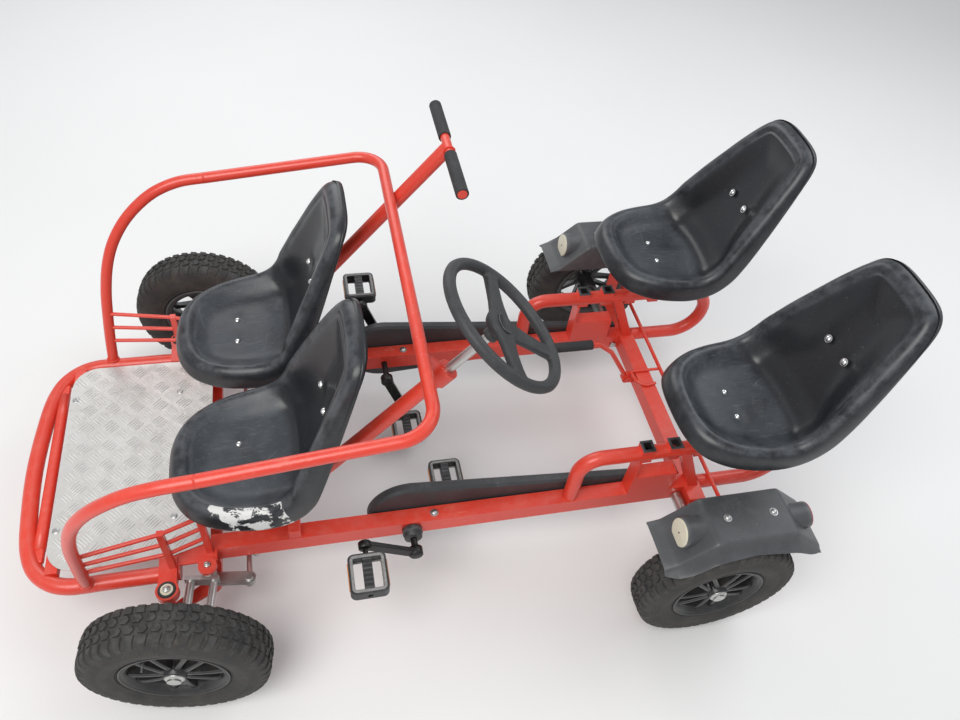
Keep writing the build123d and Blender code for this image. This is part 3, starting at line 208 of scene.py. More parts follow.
def moulded_plastic(name, dark, pale, base_rough, grain, wear):
    """Faded black plastic with fine grain, pale scuffed edges, scratches and settled dust."""
    f = Finish(name, IOR=1.46)
    fade = f.noise(4.0, 4.0, 0.6)
    f.base(fade.step(0.3, 0.75), dark, pale)
    bloom = f.noise(13.0, 5.0, 0.7, 0.4).step(0.48, 0.80) * f.upward()
    f.over(bloom * 0.35, (0.16, 0.165, 0.17))
    rub = f.edge(0.515, 0.60) * f.noise(30.0, 4.0, 0.7).step(0.30, 0.62)
    f.over(rub * wear, (0.20, 0.205, 0.21))
    lines = f.scratches(30.0, (0.2, 0.1, 0.5), 0.68) + f.scratches(44.0, (0.9, 0.4, 1.9), 0.70)
    f.over(lines.clip() * 0.30, (0.22, 0.22, 0.22))
    speck = f.noise(210.0, 2.0, 0.5).step(0.70, 0.76) * f.upward()
    f.over(speck * 0.35, (0.30, 0.27, 0.23))
    rough = base_rough + fade * 0.12 + bloom * 0.15 - rub * 0.08
    normal = f.bump(f.noise(grain, 3.0, 0.6) + lines * 0.4, 0.22, 0.0004)
    return f.done(rough, normal)


def seat_plastic():
    """The seats' glossy black shell: dusty pan, a rim lightened by rubbing and a painted highlight along its
    crest, dried puddle rings.
    """
    f = Finish("seat_plastic", IOR=1.5)
    pan = f.attribute("pan")
    rim = f.attribute("rim")
    dish = f.attribute("dish")
    f.base(f.noise(5.0, 4.0, 0.6), (0.008, 0.009, 0.011), (0.020, 0.022, 0.026))
    cloud = f.noise(7.0, 6.0, 0.68, 0.5)
    dust = pan * cloud.step(0.25, 0.75)
    f.over(dust * 0.72, (0.072, 0.084, 0.100))
    rings = f.cells(9.0, "DISTANCE_TO_EDGE").step(0.0, 0.035)
    rings = (1 - rings) * f.noise(11.0, 3.0, 0.6).step(0.5, 0.62) * pan
    f.over(rings * 0.20, (0.15, 0.16, 0.17))
    wisps = f.scratches(16.0, (0.1, 0.2, 0.7), 0.62) + f.scratches(24.0, (0.3, 0.6, 2.2), 0.64)
    f.over((wisps * (0.25 + pan)).clip() * 0.22, (0.16, 0.17, 0.185))
    # Painted highlight with rubbing: a lighter, patchy band along the rim's crest, where the rolled rim
    # catches the light; it also raises the roughness there.
    rim_rub_and_highlight = rim * f.noise(26.0, 4.0, 0.7).step(0.32, 0.66)
    f.over(rim_rub_and_highlight * 0.42, (0.13, 0.14, 0.155))
    speck = f.noise(240.0, 2.0, 0.5).step(0.71, 0.76) * dish
    f.over(speck * 0.4, (0.32, 0.29, 0.25))
    torn = f.attribute("scrap").step(0.4, 0.6) * f.noise(26.0, 5.0, 0.75, 0.4).step(0.525, 0.545)
    f.over(torn, (0.70, 0.70, 0.68))
    rough = 0.27 + dust * 0.22 + rim_rub_and_highlight * 0.10 + f.noise(60.0, 3.0, 0.6) * 0.08
    grain = f.noise(420.0, 2.0, 0.5)
    normal = f.bump(grain * 0.5 + wisps * 0.3 + f.noise(9.0, 2.0, 0.4) * 2.0, 0.16, 0.0008)
    return f.done(rough, normal)


def tyre_rubber():
    f = Finish("tyre_rubber", IOR=1.48)
    tread = f.attribute("tread")
    f.base(f.noise(12.0, 4.0, 0.6), (0.017, 0.017, 0.018), (0.036, 0.035, 0.034))
    dust = f.noise(18.0, 6.0, 0.72, 0.3).step(0.34, 0.80)
    f.over(dust * (0.60 - tread * 0.30), (0.105, 0.090, 0.074))
    grit = f.noise(300.0, 3.0, 0.6).step(0.62, 0.74)
    f.over(grit * 0.45, (0.20, 0.185, 0.16))
    worn = tread * f.noise(45.0, 3.0, 0.6).step(0.40, 0.66)
    f.over(worn * 0.40, (0.085, 0.083, 0.080))
    rough = 0.72 + dust * 0.2 - worn * 0.06
    normal = f.bump(f.noise(520.0, 3.0, 0.6) + f.noise(60.0, 3.0, 0.6), 0.35, 0.0007)
    return f.done(rough, normal)


def wheel_black():
    f = Finish("wheel_black", Coat_Weight=0.15, Coat_Roughness=0.3)
    f.base(f.noise(20.0, 3.0, 0.6), (0.010, 0.010, 0.011), (0.022, 0.022, 0.023))
    dust = f.noise(32.0, 5.0, 0.7).step(0.40, 0.85)
    f.over(dust * 0.30, (0.12, 0.105, 0.09))
    rub = f.edge(0.52, 0.62)
    f.over(rub * 0.35, (0.20, 0.20, 0.20))
    return f.done(0.34 + dust * 0.30, f.bump(f.noise(350.0, 2.0, 0.5), 0.15, 0.0004))


def soft_skin(name, dark, pale, grain, rough):
    """Padded or rubber skin with a fine grain, pale dust in its pores and a painted sheen on faces that look
    up.
    """
    f = Finish(name, IOR=1.45)
    wide = f.noise(14.0, 4.0, 0.6)
    f.base(wide, dark, pale)
    pores = f.cells(grain)
    f.over(pores.step(0.35, 0.75) * 0.35, (0.085, 0.085, 0.085))
    # Painted sheen: a lighter grey on faces that look up, where the light falls; it also makes them a little
    # rougher.
    painted_sheen = f.noise(30.0, 4.0, 0.65).step(0.45, 0.75) * f.upward()
    f.over(painted_sheen * 0.25, (0.12, 0.12, 0.122))
    return f.done(rough + painted_sheen * 0.12, f.bump(pores, 0.35, 0.0008))


def bare_metal(name, dark, pale, rough, stain, wear=0.35):
    """Plated or bare metal, clouded, with fine scratches and a little rust."""
    f = Finish(name)
    cloud = f.noise(24.0, 5.0, 0.65, 0.3)
    f.base(cloud, dark, pale)
    rust = f.noise(38.0, 5.0, 0.7, 0.4).step(0.60, 0.72)
    f.over(rust * stain, (0.19, 0.085, 0.035))
    lines = f.scratches(70.0, (0.2, 0.4, 0.3), 0.62)
    f.over(lines * wear, pale)
    metal = 1.0 - rust * stain
    normal = f.bump(cloud + lines, 0.15, 0.0003)
    return f.done(rough + cloud * 0.18 + rust * 0.3, normal, metal.clip())


def tread_aluminium():
    f = Finish("tread_aluminium")
    bar = f.attribute("bar")
    cloud = f.noise(9.0, 5.0, 0.65, 0.3)
    f.base(cloud, (0.60, 0.585, 0.56), (0.78, 0.77, 0.745))
    grime = f.noise(24.0, 6.0, 0.72).step(0.42, 0.75) * (1 - bar * 0.8)
    f.over(grime * 0.38, (0.27, 0.24, 0.20))
    rust = f.noise(11.0, 4.0, 0.65, 0.4).step(0.63, 0.74)
    f.over(rust * 0.25, (0.36, 0.23, 0.14))
    f.over(bar * 0.45, (0.90, 0.895, 0.88))
    lines = f.scratches(40.0, (0.0, 0.0, 0.6), 0.60) + f.scratches(55.0, (0.0, 0.0, 2.1), 0.62)
    rough = 0.36 + cloud * 0.12 + grime * 0.25 - bar * 0.08
    metal = 0.60 - grime * 0.4 - rust * 0.2
    return f.done(rough, f.bump(cloud + lines * 0.5, 0.15, 0.0004), metal.clip())


def lamp_lens(name, dark, pale, rings, centre_out):
    """A lens with fine moulded rings, clouded and scratched."""
    f = Finish(name, Coat_Weight=0.5, Coat_Roughness=0.2, IOR=1.5)
    ring = f.attribute("ring")
    wave = (ring * rings).sine()
    cloud = f.noise(40.0, 4.0, 0.65)
    f.base(cloud, dark, pale)
    f.over(f.noise(90.0, 4.0, 0.7).step(0.55, 0.8) * 0.4, centre_out)
    return f.done(0.35 + cloud * 0.2, f.bump(wave, 0.25, 0.0008))


RED = red_enamel()
SEAT = seat_plastic()
CASE = moulded_plastic("case_plastic", (0.026, 0.027, 0.029), (0.060, 0.062, 0.065), 0.40, 300.0, 0.75)
GUARD = moulded_plastic("mudguard_plastic", (0.050, 0.053, 0.057), (0.092, 0.096, 0.101), 0.36, 340.0, 0.95)
SMALL = moulded_plastic("small_black_plastic", (0.012, 0.012, 0.013), (0.03, 0.03, 0.031), 0.40, 420.0, 0.5)
TYRE = tyre_rubber()
WHEEL = wheel_black()
FOAM = soft_skin("steering_skin", (0.018, 0.019, 0.021), (0.040, 0.041, 0.044), 620.0, 0.50)
GRIP = soft_skin("grip_foam", (0.013, 0.013, 0.014), (0.030, 0.030, 0.032), 480.0, 0.72)
BUSH = soft_skin("bush_rubber", (0.012, 0.012, 0.012), (0.028, 0.027, 0.026), 380.0, 0.66)
ZINC = bare_metal("zinc_plate", (0.42, 0.42, 0.41), (0.66, 0.66, 0.64), 0.30, 0.55)
CHROME = bare_metal("bolt_chrome", (0.66, 0.66, 0.65), (0.90, 0.90, 0.89), 0.14, 0.12)
BLACK_STEEL = bare_metal("black_steel", (0.030, 0.030, 0.031), (0.065, 0.064, 0.063), 0.34, 0.35, 0.2)
ALUMINIUM = tread_aluminium()
CREAM = lamp_lens("cream_lens", (0.62, 0.57, 0.42), (0.80, 0.76, 0.62), 160.0, (0.45, 0.40, 0.28))
RED_LENS = lamp_lens("red_lens", (0.30, 0.008, 0.012), (0.52, 0.020, 0.030), 190.0, (0.20, 0.01, 0.01))
AMBER = lamp_lens("amber_reflector", (0.55, 0.16, 0.012), (0.80, 0.30, 0.03), 0.0, (0.35, 0.12, 0.02))
GREY_PAD = soft_skin("pedal_pad", (0.22, 0.22, 0.215), (0.36, 0.355, 0.345), 300.0, 0.70)


# Pieces: meshes from points and faces, and finished copies of the CAD's rigid nodes
def body_of(node):
    return frame["nodes"][node]["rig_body"]


def linked(name, data):
    """A new object of the scene."""
    made = bpy.data.objects.new(name, data)
    bpy.context.scene.collection.objects.link(made)
    return made


def new_piece(name, points, faces, finish, smooth=True, marks=None):
    """A mesh piece whose place is in its points; marks are values kept for the finish."""
    mesh = bpy.data.meshes.new(name)
    mesh.from_pydata([tuple(p) for p in points], [], faces)
    shell = bmesh.new()
    shell.from_mesh(mesh)
    for mark, values in (marks or {}).items():
        layer = shell.verts.layers.float.new(mark)
        for vert, value in zip(shell.verts, values):
            vert[layer] = value
    bmesh.ops.remove_doubles(shell, verts=shell.verts, dist=1e-6)
    bmesh.ops.recalc_face_normals(shell, faces=shell.faces)
    for face in shell.faces:
        face.smooth = smooth
    shell.to_mesh(mesh)
    shell.free()
    mesh.materials.append(finish)
    return linked(name, mesh)


def local(x, y, z):
    """A place in a piece's own millimetres, in metres."""
    return Vector((x / 1000, y / 1000, z / 1000))


def skin(name, rows, finish, loop=False, ring=True, ends=False, smooth=True, marks=None, where=local):
    """A surface through rows of points in millimetres.

    loop joins the last row to the first, ring closes each row and ends caps the first and last.
    """
    width = len(rows[0])
    points = [where(*point) for row in rows for point in row]
    faces = []
    for i in range(len(rows) if loop else len(rows) - 1):
        k = (i + 1) % len(rows)
        for j in range(width if ring else width - 1):
            n = (j + 1) % width
            faces.append((i * width + j, i * width + n, k * width + n, k * width + j))
    if ends:
        faces += [tuple(range(width)), tuple(range(len(points) - width, len(points)))]
    return new_piece(name, points, faces, finish, smooth, marks)


def settle(piece):
    """Turn a piece and its modifiers into a plain mesh."""
    bpy.context.view_layer.update()
    graph = bpy.context.evaluated_depsgraph_get()
    mesh = bpy.data.meshes.new_from_object(piece.evaluated_get(graph), depsgraph=graph)
    piece.modifiers.clear()
    piece.data = mesh
    return piece


def sharpen(shell, angle):
    for edge in shell.edges:
        edge.smooth = not edge.is_manifold or edge.calc_face_angle(0) < angle


def round_edges(piece, width, segments=2, angle=30):
    bevel = piece.modifiers.new("rounding", "BEVEL")
    bevel.width = width / 1000
    bevel.segments = segments
    bevel.limit_method = "ANGLE"
    bevel.angle_limit = radians(angle)
    bevel.use_clamp_overlap = True
    bevel.harden_normals = True
    bevel.miter_outer = "MITER_ARC"
    return piece


def dressed(node, finish, width, segments=2, front=None):
    """A merged copy of a rigid node with rounded edges and its finish, cut off ahead of front."""
    source = frame["nodes"][node].data
    mesh = bpy.data.meshes.new(node + "_dressed")
    mesh.from_pydata([v.co[:] for v in source.vertices], [], [p.vertices[:] for p in source.polygons])
    shell = bmesh.new()
    shell.from_mesh(mesh)
    bmesh.ops.remove_doubles(shell, verts=shell.verts, dist=2e-6)
    bmesh.ops.dissolve_degenerate(shell, edges=shell.edges, dist=1e-6)
    bmesh.ops.dissolve_limit(shell, angle_limit=radians(0.4), verts=shell.verts, edges=shell.edges)
    if front:
        cut = bmesh.ops.bisect_plane(shell, geom=shell.verts[:] + shell.edges[:] + shell.faces[:],
                                     plane_co=at(front, 0, 0), plane_no=(1, 0, 0), clear_outer=True)
        rim = [edge for edge in cut["geom_cut"] if isinstance(edge, bmesh.types.BMEdge)]
        bmesh.ops.edgeloop_fill(shell, edges=rim)
    for face in shell.faces:
        face.smooth = True
    sharpen(shell, radians(30))
    shell.to_mesh(mesh)
    shell.free()
    mesh.materials.append(finish)
    piece = linked(node + "_dressed", mesh)
    round_edges(piece, width, segments)
    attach(piece, body_of(node))
    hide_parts(node)


DRESSED = (
    (("rail_left", "rail_right", "rear_beam", "seat_cross_tube", "front_axle"), RED, 3.0, 3),
    (("seat_hoop_left", "seat_hoop_right", "steering_tube"), RED, 1.2, 2),
    (("handle_post", "side_fence_left", "side_fence_right", "brake_rod", "handbrake"), RED, 0.6, 2),
    (("chain_case_left", "chain_case_right"), CASE, 2.5, 3),
    (("seat_brackets_front", "seat_brackets_rear"), ZINC, 1.0, 2),
    (("knuckle_left", "knuckle_right", "tie_rod", "steering_column"), ZINC, 0.8, 2),
    (("half_axle_left", "half_axle_right"), ZINC, 1.0, 2),
    (("socket_inserts",), SMALL, 1.2, 2),
    (("hand_grips",), GRIP, 2.0, 3),
    (("axle_bushes",), BUSH, 1.0, 2),
    (("crank_left", "crank_right"), BLACK_STEEL, 2.0, 3),
)
for nodes, finish, width, segments in DRESSED:
    for node in nodes:
        dressed(node, finish, width, segments)


# Curves: points through which pieces are drawn
def through(points, steps):
    """A smooth curve through the points, with the given steps between neighbours."""
    points = [Vector(p) for p in points]
    last = len(points) - 1
    curve = []
    for i in range(last):
        a, b, c, d = (points[min(max(i + k, 0), last)] for k in (-1, 0, 1, 2))
        for step in range(steps):
            t = step / steps
            curve.append(0.5 * (2 * b + (c - a) * t + (2 * a - 5 * b + 4 * c - d) * t * t
                                + (3 * b - a - 3 * c + d) * t * t * t))
    return curve + [points[-1]]


def evenly(curve, count):
    """The curve as count + 1 points at even distances along it."""
    lengths = [0.0]
    for a, b in zip(curve, curve[1:]):
        lengths.append(lengths[-1] + (b - a).length)
    points = []
    k = 0
    for i in range(count + 1):
        want = lengths[-1] * i / count
        while k < len(curve) - 2 and lengths[k + 1] < want:
            k += 1
        share = (want - lengths[k]) / max(lengths[k + 1] - lengths[k], 1e-9)
        points.append(curve[k].lerp(curve[k + 1], min(share, 1.0)))
    return points


def smooth_step(value):
    value = min(max(value, 0.0), 1.0)
    return value * value * (3 - 2 * value)


def between(rows, key):
    """The other columns of a table at a key in its first column, in straight lines between rows."""
    rows = sorted(rows)
    key = min(max(key, rows[0][0]), rows[-1][0])
    for low, high in zip(rows, rows[1:]):
        if key <= high[0]:
            share = (key - low[0]) / (high[0] - low[0])
            return [a + (b - a) * share for a, b in zip(low[1:], high[1:])]
    return list(rows[-1][1:])


# Bucket seats: a dished pan and a channelled back in one double-walled moulding
# Side line of the moulding: forward and up from the pan bolts, then its slope in degrees
SEAT_LINE = (
    (150.0, 14.0, 20.0), (116.0, 2.0, 13.0), (48.0, -4.0, 3.0), (-44.0, -2.0, -5.0), (-86.0, 5.0, -17.0),
    (-114.0, 20.0, -33.0), (-140.0, 50.0, -50.0), (-158.0, 86.0, -62.0), (-190.0, 170.0, -71.0),
    (-226.0, 276.0, -73.0), (-262.0, 385.0, -74.0),
)
# Distance along that line: rise of the rim, depth of the skirt below it and height of the underside
SEAT_WALLS = (
    (158.0, 13.0, 46.0, -36.0), (116.0, 19.0, 54.0, -34.0), (48.0, 27.0, 60.0, -28.0),
    (-44.0, 33.0, 62.0, -24.0), (-112.0, 45.0, 62.0, -20.0), (-192.0, 51.0, 60.0, -17.0),
    (-288.0, 44.0, 50.0, -15.0), (-400.0, 30.0, 38.0, -13.0), (-494.0, 15.0, 27.0, -13.0),
    (-516.0, 9.0, 22.0, -13.0),
)
# Half of the outer outline: distance along the line and half width
SEAT_OUTLINE = (
    (153.0, 0.0), (151.0, 42.0), (139.0, 88.0), (111.0, 128.0), (64.0, 157.0), (6.0, 173.0), (-56.0, 180.0),
    (-120.0, 182.0), (-185.0, 179.0), (-245.0, 171.0), (-300.0, 161.0), (-355.0, 149.0), (-410.0, 136.0),
    (-460.0, 121.0), (-494.0, 103.0), (-511.0, 76.0), (-517.0, 40.0), (-518.0, 0.0),
)
# Rim profile: distance in from the outline and height against the rim's crest
RIM_TOP = ((21.0, 0.0), (14.0, -2.2), (8.0, -6.5), (3.5, -13.0), (1.0, -22.0), (0.0, -33.0))
RIM_INNER = ((27.0, -1.2), (32.0, -4.5), (37.0, -9.0))
SEAT_SHORT = 14
SEAT_LONG = 58
BACK_BOLTS = (-293.0, 36.0)
PAN_BOLTS = 37.0
DIMPLE_R = 17.0
DIMPLE_DEPTH = 3.2
BEND_DEPTH = 7.5
# The pan's oval step: middle along the line, half length, half width and depth
PAN_OVAL = (12.0, 118.0, 138.0, 2.2)
# Where the torn scraps lie on the front left seat: from and to along the line, and out from its middle
SCRAPS = (-95.0, 70.0, 120.0)


def seat_frames():
    """Places along the side line with their distance from the pan bolts and their slope."""
    curve = through(SEAT_LINE, 12)
    distances = [0.0]
    for a, b in zip(curve, curve[1:]):
        distances.append(distances[-1] - hypot(b.x - a.x, b.y - a.y))
    zero = min(range(len(curve)), key=lambda i: abs(curve[i].x))
    return [(d - distances[zero], p.x, p.y, p.z) for d, p in zip(distances, curve)]


SEAT_FRAMES = seat_frames()


def seat_point(seat, side, along, across, height):
    """A point of a seat: along its side line, across from its middle and above the line."""
    ahead, up, slope = between(SEAT_FRAMES, along)
    first, last = SEAT_FRAMES[-1], SEAT_FRAMES[0]
    over = along - min(max(along, first[0]), last[0])
    way = radians(slope)
    ahead += over * cos(way) - height * sin(way)
    up += over * sin(way) + height * cos(way)
    x, y, z, lean = seat
    lean = radians(lean)
    return at(x + ahead * cos(lean) - up * sin(lean), side * y + across,
              z + ahead * sin(lean) + up * cos(lean))


def seat_outline():
    half = evenly(through([(a, b, 0) for a, b in SEAT_OUTLINE], 10), SEAT_SHORT + SEAT_LONG)
    return half + [Vector((p.x, -p.y, 0)) for p in reversed(half[1:-1])]


def inset(outline, distance):
    """The closed outline moved inward by a distance."""
    count = len(outline)
    moved = []
    for i, point in enumerate(outline):
        way = (outline[(i + 1) % count] - outline[i - 1]).normalized()
        moved.append(point + Vector((way.y, -way.x, 0)) * -distance)
    return moved


def patch(ring, short, long):
    """Points inside a closed ring, as the rows of a four-sided sheet along its long sides."""
    count = len(ring)
    half = short // 2
    nose = [ring[i % count] for i in range(-half, half + 1)]
    left = [ring[half + j] for j in range(long + 1)]
    right = [ring[(count - half - j) % count] for j in range(long + 1)]
    top = [ring[(count - half - long - i) % count] for i in range(short + 1)]
    rows = []
    for j in range(long + 1):
        v = j / long
        row = []
        for i in range(short + 1):
            u = i / short
            edge = right[j] * (1 - u) + left[j] * u
            cap = nose[i] * (1 - v) + top[i] * v
            corner = (nose[0] * (1 - u) + nose[-1] * u) * (1 - v) + (top[0] * (1 - u) + top[-1] * u) * v
            row.append(edge + cap - corner)
        rows.append(row)
    return rows


def seat_bolt_places(pan_along):
    """The four bolts of a seat: distance along its side line and across from its middle."""
    rows = ((pan_along, PAN_BOLTS), BACK_BOLTS)
    return [(along, s * across) for along, across in rows for s in (1, -1)]


def bowl(along, across, inward, bolts):
    """Height of the inner surface above the side line."""
    rise = between(SEAT_WALLS, along)[0]
    width = 66.0 + 42.0 * smooth_step((-150 - along) / 120)
    wall = 1 - smooth_step((inward - 18) / width)
    height = rise * wall ** 1.15
    bend = -126 + 30 * (across / 150) ** 2
    spread = abs(along - bend) / (26 if along > bend else 34)
    height -= BEND_DEPTH * (1 - wall) * max(1 - spread, 0) ** 1.5
    lip = min(along + 110, 60) / 60
    if lip > 0:
        middle, long, wide, depth = PAN_OVAL
        ring = hypot((along - middle) / long, across / wide)
        height -= depth * lip * (1 - smooth_step((ring - 0.86) / 0.10))
    for place in bolts:
        away = hypot(along - place[0], across - place[1])
        height -= DIMPLE_DEPTH * (1 - smooth_step((away - 6) / (DIMPLE_R - 6)))
    return height


def seat_shell(node, seat, side, pan_along, scraps):
    """One closed seat: inner sheet, rim, skirt and underside."""
    outline = seat_outline()
    count = len(outline)
    short, half, long = SEAT_SHORT, SEAT_SHORT // 2, count // 2 - SEAT_SHORT
    bolts = seat_bolt_places(pan_along)
    points, faces, marks = [], [], {"pan": [], "rim": [], "dish": [], "scrap": []}

    def put(along, across, height, rim, dish):
        pan = smooth_step((along + 120 - 26 * (across / 150) ** 2) / 26) * dish
        scrap = scraps and across * side > SCRAPS[2] and SCRAPS[0] < along < SCRAPS[1] and not dish
        points.append(seat_point(seat, side, along, across, height))
        for mark, value in (("pan", pan), ("rim", rim), ("dish", dish), ("scrap", 1.0 if scrap else 0.0)):
            marks[mark].append(value)
        return len(points) - 1

    def nearest(point):
        return min((point - edge).length for edge in outline)

    def ring_of(distance, drop, rim, foot=None):
        """A ring at a distance in from the outline, below the crest or above the skirt's foot."""
        ring = []
        for point in inset(outline, distance):
            rise, skirt = between(SEAT_WALLS, point.x)[:2]
            height = rise + drop if foot is None else rise - skirt + foot
            ring.append(put(point.x, point.y, height, rim, 0.0))
        return ring

    def join(first, second):
        for i in range(len(first)):
            k = (i + 1) % len(first)
            faces.append((first[i], first[k], second[k], second[i]))

    def sheet(distance, ring, surface, dish):
        """Fill the space inside a ring with a grid of points."""
        edge = inset(outline, distance)
        rows = patch(edge, short, long)
        index = []
        for j, row in enumerate(rows):
            line = []
            for i, point in enumerate(row):
                if j == 0:
                    line.append(ring[(i - half) % count])
                elif j == long:
                    line.append(ring[(count - half - long - i) % count])
                elif i == short:
                    line.append(ring[half + j])
                elif i == 0:
                    line.append(ring[(count - half - j) % count])
                else:
                    line.append(put(point.x, point.y, surface(point), 0.0, dish))
            index.append(line)
        for low, high in zip(index, index[1:]):
            for i in range(short):
                faces.append((low[i], low[i + 1], high[i + 1], high[i]))

    def inner(point):
        return bowl(point.x, point.y, nearest(point), bolts)

    def under(point):
        rise, skirt, deep = between(SEAT_WALLS, point.x)
        return deep + (rise - skirt - deep) * (1 - smooth_step(nearest(point) / 110))

    rings = []
    last = RIM_INNER[-1][0] + 6
    rings.append([put(point.x, point.y, inner(point), 0.2, 1.0) for point in inset(outline, last)])
    for distance, drop in reversed(RIM_INNER):
        ring = []
        for point in inset(outline, distance):
            rise = between(SEAT_WALLS, point.x)[0]
            soft = bowl(point.x, point.y, distance, [])
            ring.append(put(point.x, point.y, (rise + drop) * 0.5 + soft * 0.5, 0.8, 0.6))
        rings.append(ring)
    # The rim mark is highest on the crest, where the seat finish paints its highlight.
    for distance, drop in RIM_TOP:
        rings.append(ring_of(distance, drop, 1.0 if distance > 5 else 0.25))
    for distance, foot in ((0.0, 14.0), (0.5, 4.0), (2.5, 0.5), (6.0, 0.0), (12.0, 3.0), (22.0, 4.5)):
        rings.append(ring_of(distance, 0.0, 0.0, foot))
    for first, second in zip(rings, rings[1:]):
        join(first, second)
    sheet(last, rings[0], inner, 1.0)
    sheet(22.0, rings[-1], under, 0.0)
    piece = new_piece(node + "_moulding", points, faces, SEAT, marks=marks)
    soft = piece.modifiers.new("smooth_moulding", "SUBSURF")
    soft.levels = 1
    soft.render_levels = 1
    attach(piece, body_of(node))
    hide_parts(node)


PAN_ALONG = {"front": 10.0, "rear": 0.0}
SEATS = {"front": (1091.0, 195.0, 462.0, -1.0), "rear": (-38.0, 272.0, 571.0, 5.0)}
for end, side, s in CORNERS:
    seat_shell(f"seat_{end}_{side}", SEATS[end], s, PAN_ALONG[end], (end, side) == ("front", "left"))


# Repeats: one shape copied to many places by a node tree, then kept as a plain mesh
def copy_tree():
    """Copies a shape to each point, turned and sized by the point's own values."""
    tree = bpy.data.node_groups.new("copies_on_points", "GeometryNodeTree")
    sockets = {}
    for label, kind in (("Places", "NodeSocketGeometry"), ("Shape", "NodeSocketObject"),
                        ("Finish", "NodeSocketMaterial")):
        sockets[label] = tree.interface.new_socket(label, in_out="INPUT", socket_type=kind).identifier
    tree.interface.new_socket("Copies", in_out="OUTPUT", socket_type="NodeSocketGeometry")

    def node(kind, settings=None, links=None):
        made = tree.nodes.new(kind)
        for key, value in (settings or {}).items():
            setattr(made, key, value)
        for key, socket in (links or {}).items():
            tree.links.new(socket, made.inputs[key])
        return made

    given = node("NodeGroupInput").outputs
    turn = node("GeometryNodeInputNamedAttribute", {"data_type": "FLOAT_VECTOR"})
    turn.inputs["Name"].default_value = "turn"
    size = node("GeometryNodeInputNamedAttribute", {"data_type": "FLOAT"})
    size.inputs["Name"].default_value = "size"
    shape = node("GeometryNodeObjectInfo", None, {"Object": given["Shape"]})
    placed = node("GeometryNodeInstanceOnPoints", None, {
        "Points": given["Places"], "Instance": shape.outputs["Geometry"],
        "Rotation": turn.outputs[0], "Scale": size.outputs[0]})
    real = node("GeometryNodeRealizeInstances", None, {"Geometry": placed.outputs[0]})
    coated = node("GeometryNodeSetMaterial", None, {"Geometry": real.outputs[0], "Material": given["Finish"]})
    node("NodeGroupOutput", None, {"Copies": coated.outputs[0]})
    return tree, sockets


COPIES, COPY_SOCKETS = copy_tree()


def copies(name, shape, places, finish):
    """A plain mesh of one shape at places, each a point, an Euler turn and a size."""
    mesh = bpy.data.meshes.new(name)
    mesh.from_pydata([place for place, turn, size in places], [], [])
    mesh.attributes.new("turn", "FLOAT_VECTOR", "POINT")
    mesh.attributes.new("size", "FLOAT", "POINT")
    for i, (place, turn, size) in enumerate(places):
        mesh.attributes["turn"].data[i].vector = turn
        mesh.attributes["size"].data[i].value = size
    piece = linked(name, mesh)
    spread = piece.modifiers.new("spread", "NODES")
    spread.node_group = COPIES
    spread[COPY_SOCKETS["Shape"]] = shape
    spread[COPY_SOCKETS["Finish"]] = finish
    return settle(piece)


def retire(piece):
    """Take a shape out of the scene after its copies are made."""
    mesh = piece.data
    bpy.data.objects.remove(piece)
    bpy.data.meshes.remove(mesh)


def moved(piece, matrix):
    piece.data.transform(matrix)
    return piece


def turns(count):
    """Even angles round a full turn."""
    return [2 * pi * i / count for i in range(count)]


def aimed(axis):
    """The turn that points local Y along an axis."""
    return Vector(axis).to_track_quat("Y", "Z").to_matrix().to_4x4()


def lathe(name, profile, count, finish, marks=None, hollow=False):
    """A turned piece round the local Y axis: each profile row is a place along it and a radius.

    A hollow one closes its profile away from the axis.
    """
    rows = [[(r * sin(turn), y, r * cos(turn)) for y, r in profile] for turn in turns(count)]
    values = {mark: list(row) * count for mark, row in (marks or {}).items()}
    return skin(name, rows, finish, loop=True, ring=hollow, marks=values)


def merged(name, pieces):
    """One piece from several; the marks and finishes of each are kept."""
    with bpy.context.temp_override(active_object=pieces[0], object=pieces[0],
                                   selected_objects=pieces, selected_editable_objects=pieces):
        bpy.ops.object.join()
    pieces[0].name = name
    return pieces[0]


# Wheels
AXLE_Z = 200.0
REAR_WHEEL_Y = 542.0
KINGPIN = (1200.0, 335.0)
# The front wheels' turn at rest, and their centres ahead of and out from the kingpins in metres
STEER_REST = radians(-7.0)
STUB_AHEAD = 0.040
STUB_OUT = 0.197
TREAD_PITCHES = 46
CARCASS = (
    (35.5, 103.0), (38.0, 108.0), (38.6, 116.0), (39.6, 119.0), (42.6, 119.8), (43.6, 121.6), (42.8, 123.8),
    (45.6, 128.5), (48.6, 138.0), (49.8, 148.0), (49.9, 157.0), (48.9, 166.0), (46.9, 175.0), (44.6, 182.0),
    (41.4, 188.2), (37.0, 192.0), (30.0, 194.2), (20.0, 195.4), (10.0, 195.9), (0.0, 196.0),
)


def wheel_place(end, s):
    """The matrix of a wheel: its axle along local Y, forward along local X."""
    if end == "rear":
        return Matrix.Translation(at(0, s * REAR_WHEEL_Y, AXLE_Z))
    out = Vector((-s * sin(STEER_REST), s * cos(STEER_REST), 0)) * STUB_OUT
    ahead = Vector((cos(STEER_REST), sin(STEER_REST), 0)) * STUB_AHEAD
    pin = at(KINGPIN[0], s * KINGPIN[1], AXLE_Z)
    return Matrix.Translation(pin + ahead + out) @ Matrix.Rotation(STEER_REST, 4, "Z")


def tread_block(outline, widths, skews, top_shrink):
    """A tread block: rows of (across, foot radius, top radius), each as wide round the tyre."""
    points, faces = [], []
    for (y, low, high), width, skew in zip(outline, widths, skews):
        for r, half in ((low, width / 2), (high, width / 2 - top_shrink)):
            for side in (-1, 1):
                points.append((skew + side * half, y, r))
    rows = len(outline)
    for i in range(rows - 1):
        a, b = 4 * i, 4 * i + 4
        faces += [(a + 2, a + 3, b + 3, b + 2), (a, a + 2, b + 2, b), (a + 3, a + 1, b + 1, b + 3)]
    faces += [(0, 1, 3, 2), (4 * rows - 4, 4 * rows - 2, 4 * rows - 1, 4 * rows - 3)]
    return points, faces


